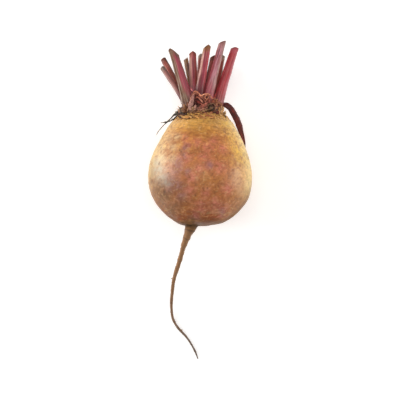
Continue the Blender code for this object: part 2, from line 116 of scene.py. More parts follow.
ROOT_MIDDLE = (0.0, 0.0, MIDDLE_HEIGHT)
soft_box("overhead_box", (0.10, 0.25, 1.40), ROOT_MIDDLE, 0.90, 5.0)
soft_box("left_box", (-0.75, 0.16, 0.24), ROOT_MIDDLE, 0.42, 4.9)
soft_box("right_box", (0.80, 0.05, 0.16), ROOT_MIDDLE, 0.36, 2.6)

# %% [markdown]
# Two helpers come back in every piece. A smooth curve runs through a few given points, and a lattice of
# random numbers gives soft irregular noise. Both work on whole arrays, so a surface of a hundred thousand
# points takes no longer than a moment.

# %% Helpers for curves and noise
LATTICE = 24


def smooth_curve(points, places):
    """A smooth curve through the points, read at places from 0 to 1 along its length.

    Between two points it is the cubic whose slope at each is half the step from the
    point before to the point after.
    """
    points = np.asarray(points, float)
    knots = np.vstack([2 * points[0] - points[1], points, 2 * points[-1] - points[-2]])
    place = np.clip(np.asarray(places, float), 0, 1) * (len(points) - 1)
    span = np.minimum(place.astype(int), len(points) - 2)
    t = (place - span)[:, None]
    a, b, c, d = (knots[span + shift] for shift in range(4))
    bend = (2 * a - 5 * b + 4 * c - d) * t**2 + (3 * b - a - 3 * c + d) * t**3
    return 0.5 * (2 * b + (c - a) * t + bend)


def even_places(points, count, fine=1200):
    """Places from 0 to 1 that cut the smooth curve through the points into equal lengths."""
    places = np.linspace(0, 1, fine)
    steps = np.linalg.norm(np.diff(smooth_curve(points, places), axis=0), axis=1)
    length = np.concatenate([[0.0], np.cumsum(steps)])
    return np.interp(np.linspace(0, length[-1], count), length, places)


def noise(points, size, seed):
    """Soft noise from -1 to 1: random numbers on a lattice of that size, mixed with an eased blend."""
    lattice = np.random.default_rng(seed).uniform(-1, 1, (LATTICE,) * 3)
    place = np.asarray(points, float) / np.asarray(size, float)
    cell = np.floor(place).astype(int)
    t = place - cell
    t = t * t * (3 - 2 * t)
    total = np.zeros(place.shape[:-1])
    for corner in np.ndindex(2, 2, 2):
        share = np.prod(np.where(corner, t, 1 - t), axis=-1)
        i, j, k = np.moveaxis((cell + corner) % LATTICE, -1, 0)
        total += share * lattice[i, j, k]
    return total


def ease(value, low, high):
    """0 below low, 1 above high, and a soft S between them."""
    t = np.clip((value - low) / (high - low), 0, 1)
    return t * t * (3 - 2 * t)


def unit(vectors):
    """Each vector divided by its own length."""
    return vectors / np.maximum(np.linalg.norm(vectors, axis=-1, keepdims=True), 1e-12)


def full_turn(columns, shift=0.0):
    """Even angles round a ring, the first one a share of a step past zero."""
    return (np.arange(columns) + shift) * 2 * math.pi / columns


print("noise: a lattice of", LATTICE, "numbers a side")

# %% [markdown]
# A grid of points becomes quads, and a ring round one point becomes a fan of triangles.
# Each point carries its colour with it, and any other number that a material needs.

# %% Helpers for meshes


def grid_quads(rows, columns):
    """Quads of a grid stored row after row, each row's end joined to its start."""
    row, column = np.indices((rows - 1, columns))
    after = (column + 1) % columns
    here, above = row * columns, (row + 1) * columns
    quads = [here + column, here + after, above + after, above + column]
    return np.stack(quads, axis=-1).reshape(-1, 4)


def fan(ring, centre, turned=False):
    """Triangles from one centre point to a closed ring of points."""
    after = np.roll(ring, -1)
    first, second = (after, ring) if turned else (ring, after)
    return np.stack([first, second, np.full(len(ring), centre)], axis=-1)


def capped_quads(rings, columns):
    """Quads of a grid of rings, with a fan at each end to the two points stored after it."""
    ring, poles = np.arange(columns), rings * columns + np.arange(2)
    ends = [fan(ring, poles[0], turned=True), fan((rings - 1) * columns + ring, poles[1])]
    return [grid_quads(rings, columns), *ends]


def as_triangles(faces):
    """Quads cut into two triangles each, or triangles as they are."""
    if faces.shape[1] == 3:
        return faces
    return np.concatenate([faces[:, [0, 1, 2]], faces[:, [0, 2, 3]]])


def make_piece(name, points, face_sets, replaced, tints, marks=None):
    """One mesh from points and sets of quads or triangles, facing out, that stands for solid nodes.

    The faces are turned round if the volume they enclose comes out negative. tints are
    a colour for each point, and marks are named numbers or vectors for each point.
    """
    points = np.asarray(points, float).reshape(-1, 3)
    triangles = points[np.concatenate([as_triangles(faces) for faces in face_sets])]
    volume = np.einsum("ij,ij->i", triangles[:, 0], np.cross(triangles[:, 1], triangles[:, 2])).sum()
    if volume < 0:
        face_sets = [faces[:, ::-1] for faces in face_sets]
    mesh = bpy.data.meshes.new(name)
    mesh.vertices.add(len(points))
    mesh.vertices.foreach_set("co", points.astype(np.float32).ravel())
    sizes = np.concatenate([np.full(len(faces), faces.shape[1]) for faces in face_sets])
    loops = np.concatenate([faces.ravel() for faces in face_sets])
    mesh.loops.add(len(loops))
    mesh.loops.foreach_set("vertex_index", loops.astype(np.int32))
    mesh.polygons.add(len(sizes))
    mesh.polygons.foreach_set("loop_start", (np.cumsum(sizes) - sizes).astype(np.int32))
    mesh.update(calc_edges=True)
    mesh.shade_smooth()
    colours = np.column_stack([np.reshape(tints, (-1, 3)), np.ones(len(points))])
    layer = mesh.attributes.new("tint", "FLOAT_COLOR", "POINT")
    layer.data.foreach_set("color", colours.astype(np.float32).ravel())
    for mark, values in (marks or {}).items():
        values = np.asarray(values, np.float32)
        is_vector = values.size == points.size
        layer = mesh.attributes.new(mark, "FLOAT_VECTOR" if is_vector else "FLOAT", "POINT")
        layer.data.foreach_set("vector" if is_vector else "value", values.ravel())
    piece = bpy.data.objects.new(name, mesh)
    bpy.context.scene.collection.objects.link(piece)
    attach(piece, BODY)
    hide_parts(*replaced)
    print(f"{name}: {len(points)} points, {int((sizes - 2).sum())} triangles")
    return piece


print("the four sides of a box:", len(grid_quads(2, 4)), "quads")

# %% [markdown]
# Colours are written as the hex codes that a paint program shows, which are sRGB. The
# renderer works with linear light, so one function turns each code into linear values.
# The skin goes from straw and ochre on the shoulders to rose and umber, and the stalks
# from crimson to mauve, tan and olive. A piece's look is a base colour with others laid
# over it, each one by a share that changes from point to point.

# %% Colours and finishes


def linear(code):
    """A hex code's three sRGB values as linear light: the sRGB curve undone."""
    srgb = np.array([int(code[i : i + 2], 16) for i in (1, 3, 5)]) / 255
    return np.where(srgb <= 0.04045, srgb / 12.92, ((srgb + 0.055) / 1.055) ** 2.4)


def blend(tint, code, share):
    """The tint moved toward a named colour by a share from 0 to 1, for each point."""
    share = np.clip(share, 0, 1)[..., None]
    return tint * (1 - share) + linear(code) * share


def layered(points, base, *layers):
    """A colour for each point: a base, with other colours laid over it in turn, each by its share.

    The base is a colour's code, or colours that are worked out already.
    """
    tint = np.broadcast_to(linear(base) if isinstance(base, str) else base, points.shape)
    for code, share in layers:
        tint = blend(tint, code, share)
    return tint


def feed(tree, node, inputs):
    """Feed a node's inputs: a number or a colour as it is, another node's output as a link."""
    for key, value in inputs.items():
        if isinstance(value, bpy.types.NodeSocket):
            tree.links.new(value, node.inputs[key])
        else:
            node.inputs[key].default_value = value


def add_node(tree, kind, inputs=None, stops=None, **settings):
    """Add a node, set its properties and feed its inputs.

    stops are a colour ramp's pairs of place and colour.
    """
    node = tree.nodes.new("ShaderNode" + kind)
    for key, value in settings.items():
        setattr(node, key, value)
    feed(tree, node, inputs or {})
    if stops:
        ramp = node.color_ramp.elements
        while len(ramp) < len(stops):
            ramp.new(1.0)
        for element, (place, colour) in zip(ramp, stops):
            element.position = place
            element.color = colour
    return node


FACTOR, FIRST, SECOND, MIXED = 0, 6, 7, 2


def finish_of(name, roughness, ior):
    """A new material and its Principled shader, with typical values on the shader's own sockets."""
    material = bpy.data.materials.new(name)
    material.use_nodes = True
    shader = material.node_tree.nodes["Principled BSDF"]
    feed(material.node_tree, shader, {"Roughness": roughness, "IOR": ior})
    return material, material.node_tree, shader


print("crimson in linear light:", np.round(linear("#9E2B3A"), 3))

# %% [markdown]
# The root is one grown piece, from its shoulders to the end of the tap root, and it
# could be a turned body with a tube pushed into it. That leaves a hard seam, so here it
# is one surface: a ring of points is carried down the beet's axis and on along the tap
# root, and its radius follows the outline. The rings' planes turn from the axis to the
# tap root's own direction over the first centimetre of the tap root. The body has 360
# points to a ring and the tap root 60, and one row of triangles steps between them.

# %% The root's rings
CROWN_DROP = math.radians(7)
# Radius and height of each ring on the body, and how far its centre slides toward the
# tap root, in mm.
ROOT_OUTLINE = np.array([
    (18, 46.2, 0), (24.4, 38.4, 0), (31.3, 26.1, 0), (36.3, 13.1, 0), (37.7, 0, 0), (34.6, -13.1, 0),
    (26.6, -23.6, 0), (17.1, -30.4, 0), (11.1, -32.5, -3.1), (7.9, -33, -4.7),
]) * MM
CROWN_SHIFT = 1.4 * MM
ROOT_LOW, ROOT_HIGH = -33.1 * MM, 46.2 * MM
# Place and radius of each ring on the tap root of the lying beet, in mm.
TAP_ROOT = np.array([
    (-6.2, -35.2, 40.1, 5.2), (-6.7, -36.3, 39.9, 4.7), (-7.4, -38.2, 39.6, 4), (-8.6, -40.6, 38.8, 3.2),
    (-10.1, -44.8, 36.9, 2.5), (-12.1, -50.3, 33.3, 2.1), (-13.9, -57, 28.6, 1.8),
    (-16, -64.1, 23.2, 1.6), (-18.2, -70.9, 17.5, 1.5), (-19.8, -77.3, 12.2, 1.4),
    (-20.6, -84.1, 7.9, 1.3), (-21.3, -90.9, 4.7, 1.1), (-21.3, -97.6, 2.5, 1), (-20.4, -104.4, 1.5, 0.9),
    (-17.9, -109.6, 1.3, 0.9), (-14.8, -113.6, 1.2, 0.9), (-10.9, -117.7, 1.2, 0.8),
    (-7.9, -121.8, 1.1, 0.8), (-5.3, -126.2, 1.1, 0.7), (-3.3, -130.3, 1, 0.6), (-1.8, -134.6, 0.9, 0.4),
]) * MM
LYING_PLACE = np.array([0.0, -2.35 * MM, 36.43 * MM])
UPRIGHT_Y = np.array([0.0, -math.sin(CROWN_DROP), -math.cos(CROWN_DROP)])
UPRIGHT_Z = np.array([0.0, math.cos(CROWN_DROP), -math.sin(CROWN_DROP)])


def lay_down(points):
    """From the upright beet to the lying one: x stays, y turns to point down, z points to the crown."""
    x, y, z = np.moveaxis(np.asarray(points, float), -1, 0)[..., None]
    return LYING_PLACE + x * np.array([1.0, 0.0, 0.0]) + y * UPRIGHT_Y + z * UPRIGHT_Z


def stand_up(points):
    """The other way round: from the lying beet's place to x, y and z of the upright one."""
    away = np.asarray(points, float) - LYING_PLACE
    return np.stack([away[..., 0], away @ UPRIGHT_Y, away @ UPRIGHT_Z], axis=-1)


def crown_shift(height):
    """How far the axis leans to the right: the square of the share of the way up, times 1.4 mm."""
    return CROWN_SHIFT * np.clip((height - ROOT_LOW) / (ROOT_HIGH - ROOT_LOW), 0, 1) ** 2


def root_rows():
    """Centre and radius of each ring, as rows of x, y, z, radius, from the crown to the root's end."""
    radius, height, slide = ROOT_OUTLINE.T
    centres = lay_down(np.stack([crown_shift(height) + slide, 0 * height, height], axis=-1))
    return np.vstack([np.column_stack([centres, radius]), TAP_ROOT])


BODY_RINGS, BODY_COLUMNS = 236, 360
TAIL_RINGS, TAIL_COLUMNS = 190, 60
TURN_FROM, TURN_TO = 6.0 * MM, 3.0 * MM
rows = root_rows()
body_end = len(ROOT_OUTLINE) + 2
body_rows = smooth_curve(rows, even_places(rows[: body_end + 1], BODY_RINGS) * body_end / (len(rows) - 1))
tail_places = np.linspace(body_end / (len(rows) - 1), 1, TAIL_RINGS + 1)[1:]
tail_rows = smooth_curve(rows, tail_places)
print("rings:", len(body_rows), "on the body and", len(tail_rows), "on the tap root")

# %% [markdown]
# A grown skin is never even. The body swells in three soft lobes and has a furrow down
# each side, where fine side roots grew. On top of that come low bumps a couple of
# centimetres wide, fine wrinkles that run round the beet like growth rings, short raised
# scars, small pits with dark floors and a corky, cracked edge under the crown. Each of
# these is a height, added along the surface's own normal.

# %% Sizes and places of the root's lobes, furrows, pits and scars
LOBES, LOBE_SWELL = 3, 0.006
FURROW_DEPTH, FURROW_WIDTH = 0.25 * MM, math.radians(12.6)
# The photograph's outline is a little fuller than the smooth solid's: height, how much
# wider each flank is, and how far both lie to the right, in mm.
FULLER_SIDES = (
    (-33.0, 1.0, 0.4), (-30.4, 1.2, -0.2), (-23.6, 0.75, 0.0), (-13.1, 0.45, 0.0), (0.0, 0.15, -0.25),
    (13.1, 0.12, -0.60), (26.1, 0.2, -0.35), (38.4, 0.35, -0.3), (46.2, 0.0, 0.0),
)
# Low bumps: height and width in mm, and the seed of each one's noise.
BUMPS = ((0.30, 17, 1), (0.16, 7, 2), (0.08, 2.2, 3))
PITS, PIT_SEED = 90, 5
SCARS, SCAR_SEED = 240, 8
# Pits on the side that faces up: across, height and size in mm.
FRONT_PITS = (
    (-29.4, 8.4, 1.0), (-25.2, -11.4, 1.0), (-12.6, 13.5, 0.6), (-11.9, 18.6, 0.5), (31.6, 10.3, 0.7),
)


def carried_rings(rings, columns):
    """Centres of rings, and the outward direction of each ring's points.

    A ring's plane is square to the beet's axis where the root's radius is over 6 mm,
    and square to the tap root where it is under 3 mm. Between them its share of turning
    is the square of how far its radius has shrunk.
    """
    path = unit(np.gradient(rings[:, :3], axis=0))
    tap_start = int(np.argmax(rings[:, 3] < TAP_ROOT[0][3]))
    path[:tap_start] = path[tap_start]
    share = np.clip((TURN_FROM - rings[:, 3]) / (TURN_FROM - TURN_TO), 0, 1)[:, None] ** 2
    down = unit((1 - share) * -UPRIGHT_Z + share * path)
    level = unit(np.array([1.0, 0.0, 0.0]) - down[:, :1] * down)
    deep = np.cross(-down, level)
    turn = full_turn(columns)
    round_x, round_y = np.cos(turn)[None, :, None], np.sin(turn)[None, :, None]
    return rings[:, None, :3], level[:, None] * round_x + deep[:, None] * round_y, turn


def grid_normals(points):
    """Outward normals of a wrapped grid: the cross product of its two directions' differences."""
    down = np.gradient(points, axis=0)
    around = np.roll(points, -1, axis=1) - np.roll(points, 1, axis=1)
    return unit(np.cross(down, around))


def spots(places, centres, sizes, flatness=1.0):
    """Soft round spots: e to the minus square of the distance over the size, the largest at each point.

    flatness above 1 squeezes the spots along the beet's axis, into dashes that run round it.
    """
    nearest = np.zeros(places.shape[:-1])
    for centre, size in zip(centres, sizes):
        away = places - centre
        reach = (away[..., 0] ** 2 + away[..., 1] ** 2 + (away[..., 2] * flatness) ** 2) / size**2
        nearest = np.maximum(nearest, np.exp(-reach))
    return nearest


def outline_radius(height):
    """The root's radius at a height, along straight lines between its outline's rings."""
    return np.interp(height, ROOT_OUTLINE[::-1, 1], ROOT_OUTLINE[::-1, 0])


def front_place(across, height):
    """The place on the side that faces up: its depth is the root of radius squared less across squared."""
    deep = -np.sqrt(np.maximum(outline_radius(height) ** 2 - across**2, 0))
    return np.stack([across + crown_shift(height), deep, height], axis=-1)


def scattered(points, count, seed, sizes):
    """Random points of a grid, as places for spots, with a random size each."""
    draw = np.random.default_rng(seed)
    flat = points.reshape(-1, 3)
    return flat[draw.integers(0, len(flat), count)], draw.uniform(*sizes, count)


print("pits:", PITS + len(FRONT_PITS), "and scars:", SCARS)

# %% [markdown]
# The rings' radius is widened by the lobes, pressed in by a furrow on each flank and
# widened again where the photograph's outline is fuller. On that smooth form all the
# heights are added up: bumps, fine and broad growth rings that are strongest at both
# ends, cork on the shoulder, scars that stand up and pits that go in.

# %% The root's surface
centre, outward, turn = carried_rings(np.vstack([body_rows, tail_rows]), BODY_COLUMNS)
body_centre, body_out = centre[:BODY_RINGS], outward[:BODY_RINGS]
tail_centre, tail_out = centre[BODY_RINGS:], outward[BODY_RINGS:, :: BODY_COLUMNS // TAIL_COLUMNS]

body_radius = body_rows[:, 3][:, None]
body_height = stand_up(body_rows[:, :3])[:, 2][:, None]
rise = np.clip((body_height - ROOT_LOW) / (ROOT_HIGH - ROOT_LOW), 0, 1)
belly = np.sin(math.pi * rise) ** 0.7
furrow_dip = sum(
    np.exp(-((np.angle(np.exp(1j * (turn - place))) / FURROW_WIDTH) ** 2)) for place in (0.0, math.pi)
)
swell = body_radius * (1 + LOBE_SWELL * belly * np.sin(LOBES * turn)) - FURROW_DEPTH * belly * furrow_dip
side_height, side_more, side_shift = np.array(FULLER_SIDES).T * MM
on_body = ease(body_radius, 6 * MM, 12 * MM)
swell = swell + on_body * np.interp(body_height, side_height, side_more) * np.cos(turn) ** 2
body = body_centre + body_out * swell[..., None]
body[..., 0] += on_body * np.interp(body_height, side_height, side_shift)
upright = stand_up(body)

ring_stretch = np.array([3.5, 3.5, 1.0])
shoulder = ease(body_height, 36 * MM, 45 * MM)
toward_tip = ease(-body_height, 20 * MM, 33 * MM)
pit_places, pit_sizes = scattered(upright, PITS, PIT_SEED, (0.3 * MM, 0.7 * MM))
front_pits = np.array(FRONT_PITS) * MM
pit_places = np.vstack([pit_places, front_place(front_pits[:, 0], front_pits[:, 1])])
pit_mask = spots(upright, pit_places, np.append(pit_sizes, front_pits[:, 2]))
scar_places, scar_sizes = scattered(upright, SCARS, SCAR_SEED, (0.5 * MM, 1.3 * MM))
scar_mask = spots(upright, scar_places, scar_sizes, flatness=2.2) * (1 - toward_tip)
rings_fine = noise(upright, ring_stretch * 0.8 * MM, 21)
rings_broad = noise(upright, ring_stretch * 2.2 * MM, 22)
cork = 1 - 2 * np.abs(noise(upright, 1.9 * MM, 5)) + 0.6 * noise(upright, 0.9 * MM, 6)
relief = (
    sum(height * MM * noise(upright, size * MM, seed) for height, size, seed in BUMPS)
    + (0.05 + 0.06 * shoulder + 0.05 * toward_tip) * MM * rings_fine
    + (0.07 + 0.14 * shoulder + 0.06 * toward_tip) * MM * rings_broad
    + 0.30 * MM * shoulder * cork
    + 0.10 * MM * scar_mask
    - 0.26 * MM * pit_mask
)
body += grid_normals(body) * relief[..., None]
print("relief from", round(relief.min() / MM, 2), "to", round(relief.max() / MM, 2), "mm")

# %% [markdown]
# The tap root gets knots and cracks of its own and ends in a closed tip, and the whole
# root is kept just above the table where it would sink in. A ring of 360 points meets
# one of 60 in a row of triangles: each small ring's point serves six of the large one.

# %% The root as one mesh
TABLE_CLEARANCE = 0.02 * MM
CROWN_POLE_HEIGHT = 47.0 * MM


def rest_on_table(points):
    """No point lower than a hair above the table: the larger of its height and that clearance."""
    return np.concatenate([points[..., :2], np.maximum(points[..., 2:], TABLE_CLEARANCE)], axis=-1)


def unrolled(turn, along, radius):
    """A straight rod's own coordinates: cosine and sine of the turn times a radius, and the way along."""
    round_rod = np.stack([np.cos(turn), np.sin(turn)], axis=-1) * radius
    shape = (len(along), len(turn))
    along = np.broadcast_to(np.asarray(along)[:, None, None], (*shape, 1))
    return np.concatenate([np.broadcast_to(round_rod, (*shape, 2)), along], axis=-1)


tail_turn = turn[:: BODY_COLUMNS // TAIL_COLUMNS]
tail_length = np.cumsum(np.linalg.norm(np.gradient(tail_rows[:, :3], axis=0), axis=1))
tail_rod = unrolled(tail_turn, tail_length, 1.2 * MM)
knots = 0.10 * noise(tail_rod, np.array([9, 9, 3.4]) * MM, 31) + 0.07 * noise(tail_rod, 1.1 * MM, 32)
cracks = 0.05 * noise(tail_rod, np.array([3, 3, 0.45]) * MM, 33)
fade_in = ease(np.linspace(0, 1, TAIL_RINGS), 0.0, 0.10)[:, None]
tail_radius = tail_rows[:, 3][:, None] * (1 + (knots + cracks) * fade_in)
tail = tail_centre + tail_out * tail_radius[..., None]

crown_pole = lay_down([CROWN_SHIFT, 0.0, CROWN_POLE_HEIGHT])
tip_pole = tail_rows[-1, :3]
points = np.vstack([rest_on_table(body).reshape(-1, 3), tail.reshape(-1, 3), crown_pole, tip_pole])

last_body_ring = (BODY_RINGS - 1) * BODY_COLUMNS + np.arange(BODY_COLUMNS)
first_tail_ring = BODY_RINGS * BODY_COLUMNS + np.arange(TAIL_COLUMNS)
step = BODY_COLUMNS // TAIL_COLUMNS
nearest = ((np.arange(BODY_COLUMNS) + step // 2) // step) % TAIL_COLUMNS
step_fans = np.stack([last_body_ring, np.roll(last_body_ring, -1), first_tail_ring[nearest]], axis=-1)
corners = last_body_ring[step // 2 :: step]
step_gaps = np.stack([corners, np.roll(first_tail_ring, -1), first_tail_ring], axis=-1)
faces = [
    grid_quads(BODY_RINGS, BODY_COLUMNS),
    grid_quads(TAIL_RINGS, TAIL_COLUMNS) + BODY_RINGS * BODY_COLUMNS,
    step_fans,
    step_gaps,
    fan(np.arange(BODY_COLUMNS), len(points) - 2, turned=True),
    fan(len(points) - 2 - TAIL_COLUMNS + np.arange(TAIL_COLUMNS), len(points) - 1),
]
print("root:", len(points), "points in one closed mesh")

# %% [markdown]
# The skin's colour could come from one texture for the whole root. A real beet's colour
# follows how it grew: yellow where light reached the shoulders, straw on the flanks,
# brown toward the tap root, with rose and plum patches where the red flesh shows through
# a thin skin. So a broad tint is worked out for each point from masks of those regions,
# and the fine grain is left to the material.

# %% Patches of colour and tone
# Soft patches on the side that faces up: across, height and size in mm.
ROSE_PATCHES = (
    (-10.8, 26.1, 3), (-2.5, 22.4, 4), (5.8, 19.1, 5), (16.0, 18.2, 4), (3.1, 13.1, 5), (-8.5, 10.7, 4.5),
    (-14.5, 10.7, 3), (5.8, 6.6, 4.5), (13.2, 4.7, 5), (-9.8, 20.5, 3), (-1.1, 3.3, 4), (-6.1, -3.6, 4),
    (18.8, -10.1, 4.5), (-7.1, -12.0, 4), (3.5, -14.3, 4), (10.5, -21.3, 4.5), (0.8, -22.7, 4),
    (16.0, -25.0, 4), (-3.4, -28.7, 3), (18.8, -29.7, 2), (10.0, 24.0, 4),
)
MAUVE_PATCHES = (
    (-15.8, 7.0, 5), (-16.3, 3.0, 5), (-8.9, 0.6, 3), (-20.4, -6.0, 6), (-15.8, -9.2, 5), (-13.5, -15.7, 4),
    (6.8, 6.1, 2.5), (15.5, -25.9, 2.5), (-4.3, -32.0, 4), (-12, 13.5, 3), (-11, 19.5, 2.5), (-22, -11, 4),
)
OCHRE_PATCHES = (
    (-16.3, 24.2, 4), (-3.4, 18.6, 3.5), (-6.1, 6.6, 3), (19.7, 14.0, 4), (2.6, 34.4, 5), (3.5, -4.1, 6),
    (-4.3, 4.7, 3), (-3.4, -13.4, 4), (13.2, -5.5, 4), (23.8, -13.4, 3), (-11.7, -23.2, 5), (1.2, -25.9, 4),
)
# Pale patches on the left flank: paler skin with a painted highlight on it.
PALE_HIGHLIGHT_PATCHES = ((-30.5, 10.5, 5), (-30.0, 4.5, 5.5), (-28.5, -1.5, 5), (-24.5, -5.5, 3))
# Peach patches, most on the right flank: a painted highlight in the skin's peach tone.
PEACH_HIGHLIGHT_PATCHES = (
    (-3.4, -4.1, 1.3), (27.4, 1.0, 4), (28.4, -4.6, 5), (29.0, -11.0, 4), (33.0, -4.0, 4), (33.0, 4.0, 4),
)
# Patches of painted shade, low on the left flank and at the bottom.
PAINTED_SHADE_PATCHES = ((-31, -9, 7), (-26, -16, 7), (-34, -3, 4), (-20, -23, 6), (-6, -32, 4))
STRAW_PATCHES = ((-28.5, 20, 5), (-27, 13, 5), (-23, 26, 4), (-20, 20, 4), (-20, 12, 4), (-17, 28, 3))
# Places where the skin is made lighter or darker, set after comparing it with the
# photograph in blocks of 10 pixels: across, height and size in mm, and the share by which
# the light it sends back changes.
TONES = (
    (3.4, 35.4, 4.5, 0.14), (10.5, 34.5, 5, 0.13), (24, 34, 5, 0.16), (12, 27.5, 5, 0.10),
    (18.5, 27, 5, 0.17), (25, 26, 5, 0.12), (30, 26, 4, 0.10), (-10.9, 18.7, 4, -0.24),
    (-3.8, 18.7, 4, -0.16), (-7, 12, 4, -0.08),
    (-25, -2.8, 5, -0.18), (-18, -2.8, 5, -0.18), (-9, -2.8, 5, -0.10), (-25, -9.9, 5, -0.16),
    (-17, -9.9, 5, -0.12), (-10.5, -9.9, 4, -0.16), (-25, -17, 5, -0.10), (-17, -17, 5, -0.10),
    (-10, -17, 4, -0.10), (6.5, -3, 5, 0.09), (-34, 4, 3.5, -0.20), (-33, 11, 3, -0.12), (-20, 19, 4, -0.09),
    (-19, 13, 4, -0.05),
)


def front_patches(places, patches):
    """Soft patches on the side that faces up, from their place across, their height and size in mm."""
    facing = ease(-places[..., 1], 0.0, 12 * MM)
    total = np.zeros(places.shape[:-1])
    for across, height, size in patches:
        away = (places[..., 0] - across * MM) ** 2 + (places[..., 2] - height * MM) ** 2
        total = np.maximum(total, np.exp(-away / (size * MM) ** 2))
    return total * facing


print("places lighter or darker by more than a tenth:", sum(abs(tone[3]) > 0.1 for tone in TONES))

# %% [markdown]
# A region is a share from 0 to 1 at each point: how near it is to a flank, to the
# shoulder or to the back, made uneven by noise so that no border is a line. Then the
# colours are laid on from the largest region to the smallest.

# %% The skin's broad colours
height = upright[..., 2]
rightward = upright[..., 0] / body_radius
flank = ease(np.abs(rightward), 0.55, 0.98) * ease(height, -24 * MM, 4 * MM)
right_side = ease(rightward, 0.45, 0.85)
back_side = ease(upright[..., 1], 4 * MM, 20 * MM)
patchy = noise(upright, 11 * MM, 41) + 0.5 * noise(upright, 5 * MM, 42)
warped = upright + 1.2 * MM * np.stack([noise(upright, 3.5 * MM, seed) for seed in (45, 46, 47)], axis=-1)
mottle = noise(warped, 2.6 * MM, 43) + 0.8 * noise(warped, 1.3 * MM, 44)
ochre = front_patches(warped, OCHRE_PATCHES) + 0.5 * back_side * ease(mottle, 0.3, 0.9)
rose = front_patches(warped, ROSE_PATCHES) + 0.8 * back_side * ease(patchy, 0.2, 0.9)
mauve = front_patches(warped, MAUVE_PATCHES) + 0.5 * back_side * ease(-patchy, 0.5, 1.0)
pale, straw = front_patches(warped, PALE_HIGHLIGHT_PATCHES), front_patches(warped, STRAW_PATCHES)
peach_highlight, shade = front_patches(warped, PEACH_HIGHLIGHT_PATCHES), front_patches(warped, PAINTED_SHADE_PATCHES)
left_edge = ease(-rightward + 0.02 * mottle, 0.84, 0.98) * ease(height, -12 * MM, 4 * MM)
straw_and_lit_right_edge = ease(rightward, 0.80, 0.97) * ease(height, -22 * MM, -4 * MM)
low_right = ease(rightward, 0.55, 0.95) * ease(-height, 6 * MM, 20 * MM)
skin_tint = layered(
    body,
    "#BC723A",
    ("#B47430", ease(height + 4 * MM * patchy, 16 * MM, 34 * MM)),
    ("#CE9745", ease(height + 3 * MM * patchy, 30 * MM, 40 * MM)),
    ("#964416", 0.90 * ease(-height + 3 * MM * patchy, 12 * MM, 31 * MM)),
    ("#D0AA6C", 0.80 * flank * (0.8 + 0.4 * mottle)),
    ("#E8BA3E", 0.72 * right_side * ease(height, -12 * MM, 20 * MM) * (0.6 + 0.6 * mottle)),
    ("#C08C54", 0.5 * back_side),
    ("#B07634", 0.60 * ochre * (0.8 + 0.5 * mottle)),
    ("#D67668", 0.62 * rose * (0.85 + 0.4 * mottle)),
    ("#94696A", 0.80 * mauve * (0.8 + 0.4 * mottle)),
    # Painted highlight on the left flank, over paler skin.
    ("#C0B9A4", 0.80 * pale * (0.85 + 0.3 * mottle)),
    ("#DCC698", 0.52 * straw * (0.85 + 0.3 * mottle)),
    ("#B8A05C", 0.45 * left_edge),
    # Painted highlight on the right flank, in peach.
    ("#DCAA78", 0.62 * peach_highlight * (0.85 + 0.3 * mottle)),
    # The right edge: straw skin, and painted light from the side that brightens it.
    ("#EACB84", 0.80 * straw_and_lit_right_edge),
    # Painted shade low on the left and at the bottom.
    ("#7A5024", 0.92 * shade),
    ("#A87430", 0.45 * low_right),
)
print("mean broad tint in linear light:", np.round(skin_tint.mean(axis=(0, 1)), 3))

# %% [markdown]
# Over the broad colours lie the marks that show from a step away: light scars and dark flecks, crooked veins
# in the yellow part, fine lines round the shoulder and round the bottom, dark floors in the pits, and cork in
# straw and brown at the crown's edge. Low on the flanks, near the outline seen from above, the peel is
# painted a darker brown, and a thin dark line runs along the outline: both are painted shade. There the peel
# also has no shine, so a mark named matte goes into the mesh with the colours, for the material to read.
# Toward the bottom the whole skin is painted darker too, as painted shade.

# %% The skin's marks


def rim_share(fall):
    """How near the outline seen from above: across over radius in front, a slow fall from 1 behind."""
    behind = ease(upright[..., 1] / body_radius, 0.0, 0.9)
    return np.where(upright[..., 1] > 0, 1 - fall * behind, np.abs(rightward))


# The grain is calmed under the painted highlights of the pale and peach patches.
calm = 1 - 0.75 * pale - 0.35 * peach_highlight
specks = noise(warped, 1.0 * MM, 48)
veins = 1 - np.abs(noise(warped * np.array([1.0, 1.0, 1.7]), 3.2 * MM, 49))
long_lines = noise(warped, np.array([12, 12, 0.95]) * MM, 50)
yellow_part = np.maximum(ease(height, 24 * MM, 36 * MM), right_side * ease(height, -14 * MM, 6 * MM))
shoulder_band = ease(height, 18 * MM, 26 * MM) * (1 - ease(height, 34 * MM, 40 * MM))
lined = calm * shoulder_band + 0.8 * ease(-height, 14 * MM, 22 * MM)
# Painted shade: the lower peel darker near the outline seen from above.
painted_outline_shade = ease(rim_share(0.13) + 0.03 * (mottle + patchy), 0.85, 0.99)
painted_outline_shade = painted_outline_shade * ease(-height + 4 * MM * patchy, 2 * MM, 26 * MM)
